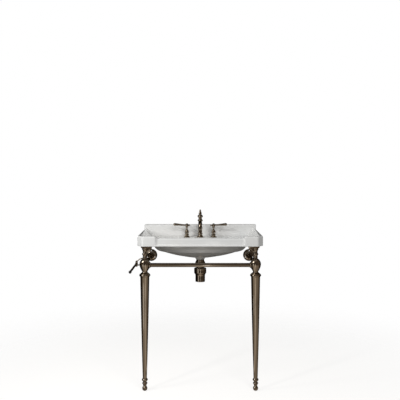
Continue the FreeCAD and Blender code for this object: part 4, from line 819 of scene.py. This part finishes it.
def make_tap(side, name):
    """Bell flange, tap body with its side port, and the lever with hub and cap."""
    where = (side * TAP_X, TAP_Y, 0)
    flange = [
        (10.5, TRAY), (19, TRAY), (19, 824.3, 0.2), (18.2, 825.2), (15.6, 826.4, 0.3), (14.2, 828),
        (11.6, 835.4, -1), (12.6, 836.6), (12.6, 840, 0.9), (11.2, 841), (10.5, 841), (10.5, TRAY),
    ]
    piece(f"{name}_bell_flange", turned_mesh(flange, where), STAND, [f"{name}_tap_flange"])
    body = [
        (0, 762), (10, 762), (10, 777), (10.5, 777), (10.5, 841), (10.2, 841.2), (9.6, 843.4, -0.3),
        (10.4, 844.6), (8, 866.4, 3.4), (6.3, 868), (6.3, 869.6, 0.4), (5.2, 871, -0.3), (5, 880.7),
        (6.2, 881.9), (6.2, 883.4, 0.5), (8.6, 887.9, -0.6), (8.6, 888.7), (0, 888.7),
    ]
    meshes = [turned_mesh(body, where, sides=64)]
    port = [(0, 0), (7, 0), (7, 18), (0, 18)]
    meshes.append(turned_mesh(port, (side * TAP_X, TAP_Y, LINK), (-side, 0, 0), sides=40))
    piece(f"{name}_tap_bell", joined(meshes), STAND, [f"{name}_tap_body"])
    hub = [
        (0, HUB), (8.5, HUB), (10.5, HUB + 3, 0.6), (10.5, HUB + 5), (9.8, HUB + 5.8), (9.8, HUB + 8.2),
        (10.5, HUB + 9), (10.5, HUB + 11), (8, HUB + 14, 0.6), (0, HUB + 14),
    ]
    arm = [
        (0, -21), (4.6, -16.6, 1.34), (3.4, -12.8, 0.6), (3.8, -11.8), (3.6, -10.6), (3.6, 0), (3.8, 12.5),
        (5.2, 13.5), (5.2, 15.4, 0.5), (4.8, 16.6), (8.1, 72, -0.4), (7.4, 79, 0.5), dome(7.4, 79, 5),
    ]
    cap = [(0, HUB + 14), (7, HUB + 14), (7, HUB + 15.2), dome(7, HUB + 15.2, 3.3)]
    meshes = [turned_mesh(hub, where, sides=64), turned_mesh(cap, where, sides=56)]
    heading = (side * math.cos(LEVER_RISE), 0, math.sin(LEVER_RISE))
    meshes.append(turned_mesh(arm, (side * TAP_X, TAP_Y, HUB + 7), heading, sides=56))
    piece(f"{name}_side_lever", joined(meshes), f"{name}_lever", [f"{name}_lever", f"{name}_lever_cap"])


def make_spout():
    """Beaded column, tube that bends over towards the bowl, its outlet ring, and the lift knob on top."""
    where = (0, TAP_Y, 0)
    column_top = 961.5
    column = [
        (0, 762), (10.5, 762), (10.5, TRAY), (21, TRAY), (21, 824.6, 0.2), (20, 825.6), (17.6, 828, 0.8),
        (16.6, 829.2), (13.2, 841, -1.8), (14.4, 842.2), (14.4, 845.6, 1), (12.8, 847), (12, 849),
        (11.6, 880), (11.6, 886, 1.6), (11.4, 889), (11.4, 919), (11.8, 920.4), (11.8, 931.4, 4), (11, 932.8),
        (10.3, 939.5, -0.4), (12.6, 944, -0.6), (16.4, 950.6, 0.6), (16.4, 953.4, 0.8), (13, 957.6, 0.6),
        (10.5, 959.4, -0.3), (10.5, column_top), (0, column_top),
    ]
    piece("spout_column", turned_mesh(column, where, sides=80), STAND, ["spout_body"])
    rise = math.radians(10.4)
    bend = 30.5
    reach = 118
    run = reach - bend * (1 + math.sin(rise))
    root = 902
    centre = (run + bend * math.sin(rise), root + run * math.tan(rise) - bend * math.cos(rise))
    line = [(0, root), (run * 0.5, root + run * 0.5 * math.tan(rise))]
    for t in np.linspace(math.pi / 2 + rise, 0, 28):
        line.append((centre[0] + bend * math.cos(t), centre[1] + bend * math.sin(t)))
    line.append((reach, centre[1] - 0.01))
    meshes = [bent_mesh([(0, TAP_Y - u, v) for u, v in line], 10.5, sides=56)]
    slant = (0, -math.cos(rise), math.sin(rise))
    collar = [(0, 12), (12.2, 12), (12.6, 14, 0.4), (12.2, 17.5, 0.3), (10.5, 18.6), (0, 18.6)]
    meshes.append(turned_mesh(collar, (0, TAP_Y, root), slant, sides=64))
    piece("curved_spout", joined(meshes), STAND, ["spout"])
    mouth = centre[1]
    ring = [
        (8, mouth - 8), (11.5, mouth - 8), (12.5, mouth - 6, 0.3), (12.5, mouth - 3.4), (12, mouth - 2, 0.3),
        (10.5, mouth), (8, mouth), (8, mouth - 8),
    ]
    grid = [(0, mouth - 5.4), (8, mouth - 5.4), (8, mouth - 4), (0, mouth - 4)]
    below = (0, TAP_Y - reach, 0)
    meshes = [turned_mesh(ring, below, sides=64), turned_mesh(grid, below, sides=48)]
    piece("spout_mouth", joined(meshes), STAND, ["spout_outlet"])
    foot = 961.8
    knob = [
        (0, foot), (7, foot), (9, foot + 3, 0.5), (9, foot + 4.5), (7.4, foot + 14, 0.9), (6.2, foot + 16),
        (5.4, foot + 21, 0.3), (5.6, foot + 22), (4.5, foot + 28, 0.4), dome(4.5, foot + 28, 4),
    ]
    piece("lift_knob", turned_mesh(knob, where, sides=64), "popup_lift", ["popup_knob"])


# ---- waste and trap ----
def make_waste():
    """Drain flange in the bowl and the nut under it."""
    where = (0, BOWL_Y, 0)
    flange = [
        (15.5, 730.5), (18, 730.5), (18, 735.5), (31, 735.5), (30.6, 737.2, 0.4), (28, 738.5, 0.5),
        (19.5, 738), (17.5, 737.4), (15.5, 735.6), (15.5, 730.5),
    ]
    piece("drain_flange", turned_mesh(flange, where, sides=80), STAND, ["waste_flange"])
    nut = [
        (18, 690.3), (22.7, 690.3), (23.7, 691.3), (23.7, 696), (23.1, 696.6), (23.1, 704.7), (23.7, 705.3),
        (23.7, 710), (22.7, 711), (18, 711), (18, 690.3),
    ]
    piece("drain_nut", turned_mesh(nut, where, sides=80), STAND, ["waste_nut"])


def make_trap():
    """Bottle trap: top nut, head with its side spigot, and cup."""
    where = (0, BOWL_Y, 0)
    nut = [
        (16, 672), (16, 662), (21.4, 662), (22, 662.6), (22, 665.2), (21.4, 665.8), (21.4, 668), (22, 668.6),
        (22, 671), (21, 672), (16, 672),
    ]
    piece("trap_top_nut", turned_mesh(nut, where, sides=80), STAND, ["trap_nut"])
    head = [
        (0, 630), (33.4, 630), (35.5, 638, 0.9), (35.5, 656), (32, 661.4, 1.4), (24, 662.2, 0.2),
        (22.8, 664.2, -0.4), (19, 664.6), (19, 669), (0, 669),
    ]
    meshes = [turned_mesh(head, where, sides=96)]
    spigot = [(0, 33), (19, 33), (19, 51.5), (0, 51.5)]
    meshes.append(turned_mesh(spigot, (0, BOWL_Y, 646), (0, 1, 0), sides=64))
    piece("trap_head", joined(meshes), STAND, ["trap_body"])
    cup = [
        (0, 581), (22, 581), (26, 581.4), (28, 583.4, 0.6), (28, 615), (28.4, 619, -0.2), (33.2, 629.4, -1.2),
        (33, 630), (0, 630),
    ]
    piece("trap_bottle", turned_mesh(cup, where, sides=96), STAND, ["trap_cup"])


make_basin()
for hand, hand_name in ((-1, "left"), (1, "right")):
    make_leg(hand, hand_name)
    make_bracket(hand, hand_name)
    make_tap(hand, hand_name)
make_rails()
make_towel_arm()
make_spout()
make_waste()
make_trap()


# ---- studio, in metres ----
STUDIO_Y = -0.3             # its middle, under the object


def make_floor():
    """Pale floor that keeps the shadow and fades out into the white room."""
    size = 2.6
    shell = bmesh.new()
    bmesh.ops.create_circle(shell, cap_ends=True, segments=96, radius=size)
    mesh = bpy.data.meshes.new("floor")
    shell.to_mesh(mesh)
    shell.free()
    made = bpy.data.objects.new("studio_floor", mesh)
    bpy.context.scene.collection.objects.link(made)
    made.location = (0, STUDIO_Y, -BOLT_HEIGHT * MM - 0.0005)
    stuff = blank_material("white_studio_floor")
    tree = stuff.node_tree
    place = add(tree, "ShaderNodeTexCoord")
    length = add(tree, "ShaderNodeVectorMath", {"operation": "LENGTH"}, {0: (place, "Object")})
    fade = add(tree, "ShaderNodeMapRange", {"interpolation_type": "SMOOTHSTEP"}, {
        "Value": (length, "Value"), "From Min": 0.5, "From Max": size * 0.95, "To Min": 0.0, "To Max": 1.0})
    matte = add(tree, "ShaderNodeBsdfDiffuse", None, {"Color": paint("#a8a5a0")})
    glow = add(tree, "ShaderNodeMath", {"operation": "MULTIPLY"}, {0: (seen_rays(tree), 0), 1: 0.78})
    white = add(tree, "ShaderNodeEmission", None, {"Color": paint("#ffffff"), "Strength": (glow, 0)})
    lit = add(tree, "ShaderNodeAddShader", None, {0: (matte, 0), 1: (white, 0)})
    clear = add(tree, "ShaderNodeBsdfTransparent")
    blend = add(tree, "ShaderNodeMixShader", None, {0: (fade, "Result"), 1: (lit, 0), 2: (clear, 0)})
    add(tree, "ShaderNodeOutputMaterial", None, {"Surface": (blend, 0)})
    mesh.materials.append(stuff)


def seen_in_reflections(name, mesh, material):
    """Studio piece that only shows as a reflection."""
    mesh.materials.append(material)
    made = bpy.data.objects.new(name, mesh)
    bpy.context.scene.collection.objects.link(made)
    made.visible_camera = False
    made.visible_diffuse = False
    made.visible_shadow = False
    made.visible_transmission = False


def wall_cloth():
    """Dark studio cloth, lighter straight ahead, and pale boards before the object that streak its legs."""
    cloth = blank_material("studio_wall_cloth")
    tree = cloth.node_tree
    place = add(tree, "ShaderNodeTexCoord")
    parts = add(tree, "ShaderNodeSeparateXYZ", None, {0: (place, "Object")})
    ahead = add(tree, "ShaderNodeMath", {"operation": "SUBTRACT"}, {0: STUDIO_Y, 1: (parts, "Y")})
    angle = add(tree, "ShaderNodeMath", {"operation": "ARCTAN2"}, {0: (parts, "X"), 1: (ahead, 0)})
    turn = add(tree, "ShaderNodeMapRange", None, {
        "Value": (angle, 0), "From Min": -math.pi, "From Max": math.pi, "To Min": 0.0, "To Max": 1.0})
    ramp = colour_by_heading(tree, turn, [
        (-180, "#2f2d2b"), (-150, "#14110f"), (-84, "#1b1815"), (-66, "#4d463f"), (-40, "#6a6259"),
        (-20, "#5a5148"), (0, "#4c443c"), (24, "#5d534a"), (60, "#5a4f45"), (74, "#6d6358"), (90, "#40372f"),
        (150, "#2b2723"), (180, "#2f2d2b"),
    ])
    flat = add(tree, "ShaderNodeCombineXYZ", None, {"X": (parts, "X"), "Y": (ahead, 0)})
    reach = add(tree, "ShaderNodeVectorMath", {"operation": "LENGTH"}, {0: (flat, 0)})
    near = add(tree, "ShaderNodeMapRange", {"interpolation_type": "SMOOTHSTEP"}, {
        "Value": (reach, "Value"), "From Min": 1.2, "From Max": 3.4, "To Min": 0.85, "To Max": 0.0})
    facing = add(tree, "ShaderNodeMath", {"operation": "DIVIDE"}, {0: (ahead, 0), 1: (reach, "Value")})
    front = add(tree, "ShaderNodeMapRange", {"interpolation_type": "SMOOTHSTEP"}, {
        "Value": (facing, 0), "From Min": -0.1, "From Max": 0.75, "To Min": 0.15, "To Max": 1.0})
    share = add(tree, "ShaderNodeMath", {"operation": "MULTIPLY"}, {0: (near, 0), 1: (front, 0)})
    boards = colour_by_heading(tree, turn, [
        (-90, "#4a433b"), (-60, "#8f8679"), (-42, "#d2c6b6"), (-24, "#92887a"), (-8, "#e6dacb"),
        (10, "#f3e7d8"), (22, "#a3978a"), (44, "#b3a797"), (58, "#91867a"), (74, "#c2b5a4"), (90, "#4a433b"),
    ])
    warm = add(tree, "ShaderNodeMix", {"data_type": "RGBA"}, {
        "Factor": (share, 0), "A": (ramp, "Color"), "B": (boards, "Color")})
    glow = add(tree, "ShaderNodeEmission", None, {"Color": (warm, "Result"), "Strength": 1.0})
    add(tree, "ShaderNodeOutputMaterial", None, {"Surface": (glow, 0)})
    return cloth


def make_surround():
    """Studio floor, walls and canopy, seen only in reflections: they give polished metal its contrast."""
    shell = bmesh.new()
    floor, ceiling = -BOLT_HEIGHT * MM + 0.001, 3.4
    radius = 4.6
    ground = [(0.02, floor), (0.5, floor), (1.0, floor), (1.8, floor), (3.0, floor), (radius, floor)]
    walls = [(radius, floor), (radius, 1.2), (radius, ceiling), (2.0, ceiling), (0.02, ceiling)]
    for outline in (ground, walls):
        angles = [math.radians(a) for a in np.linspace(-180, 180, 91)]
        grid = [
            [shell.verts.new((r * math.sin(a), STUDIO_Y - r * math.cos(a), z)) for r, z in outline]
            for a in angles
        ]
        for left, right in zip(grid[:-1], grid[1:]):
            for k in range(len(outline) - 1):
                shell.faces.new((left[k], left[k + 1], right[k + 1], right[k]))
    mesh = bpy.data.meshes.new("surround")
    shell.to_mesh(mesh)
    shell.free()
    seen_in_reflections("studio_surround", mesh, wall_cloth())


def make_window(name, middle, heading, width, height, strength):
    """Lit panel that metal and glaze mirror, with its face along a heading."""
    across = Vector(heading).cross(Vector((0, 0, 1))).normalized() * width / 2
    upward = across.cross(Vector(heading)).normalized() * height / 2
    centre = Vector(middle)
    corners = [centre + across * u + upward * v for u, v in ((-1, -1), (1, -1), (1, 1), (-1, 1))]
    mesh = bpy.data.meshes.new(name)
    mesh.from_pydata([tuple(c) for c in corners], [], [(0, 1, 2, 3)])
    lit = blank_material(name)
    tree = lit.node_tree
    glow = add(tree, "ShaderNodeEmission", None, {"Color": paint("#fffdf9"), "Strength": strength})
    add(tree, "ShaderNodeOutputMaterial", None, {"Surface": (glow, 0)})
    seen_in_reflections(name, mesh, lit)


def make_lamp(name, place, aim_at, size, power):
    """Round softbox that lights the piece and stays out of its mirrors."""
    data = bpy.data.lights.new(name, "AREA")
    data.shape = "DISK"
    data.size = size
    data.energy = power
    lamp = bpy.data.objects.new(name, data)
    bpy.context.scene.collection.objects.link(lamp)
    lamp.location = place
    lamp.rotation_euler = (Vector(aim_at) - Vector(place)).to_track_quat("-Z", "Y").to_euler()
    lamp.visible_glossy = False


def make_world():
    """White behind everything; a softer white as light."""
    world = bpy.data.worlds.new("white_room")
    bpy.context.scene.world = world
    world.use_nodes = True
    tree = world.node_tree
    tree.nodes.clear()
    shown = seen_rays(tree)
    lit = add(tree, "ShaderNodeBackground", None, {"Color": paint("#ffffff"), "Strength": 0.2})
    white = add(tree, "ShaderNodeBackground", None, {"Color": paint("#ffffff"), "Strength": 1.0})
    blend = add(tree, "ShaderNodeMixShader", None, {0: (shown, 0), 1: (lit, 0), 2: (white, 0)})
    add(tree, "ShaderNodeOutputWorld", None, {"Surface": (blend, 0)})


make_floor()
make_surround()
make_world()
make_window("high_window", (-2.2, -1.7, 1.95), (0.7, 0.4, -0.6), 1.3, 1.4, 6.0)
make_window("low_window", (-0.95, -1.38, -0.33), (0.7, 0.7, 0), 0.3, 0.88, 1.25)
make_window("front_strip", (0.09, -1.5, -0.4), (0, 1, 0), 0.1, 0.74, 1.3)
make_lamp("key_softbox", (-2.1, -2.66, 1.74), (0, STUDIO_Y, 0), 0.35, 26)
make_lamp("fill_softbox", (0.9, -3.3, 1.7), (0, STUDIO_Y, 0), 1.6, 42)
make_lamp("side_softbox", (-1.1, -0.9, 0.35), (0, -0.4, 0), 0.3, 4.5)

camera_data = bpy.data.cameras.new("camera")
camera_data.lens = 53.3
camera_data.sensor_width = 36
camera_data.shift_x = -0.0005
camera_data.shift_y = -0.0535
camera = bpy.data.objects.new("camera", camera_data)
bpy.context.scene.collection.objects.link(camera)
camera.location = (0, -3.75, 0.404)
camera.rotation_euler = (math.radians(90), 0, 0)
bpy.context.scene.camera = camera
bpy.context.scene.view_settings.view_transform = "Standard"
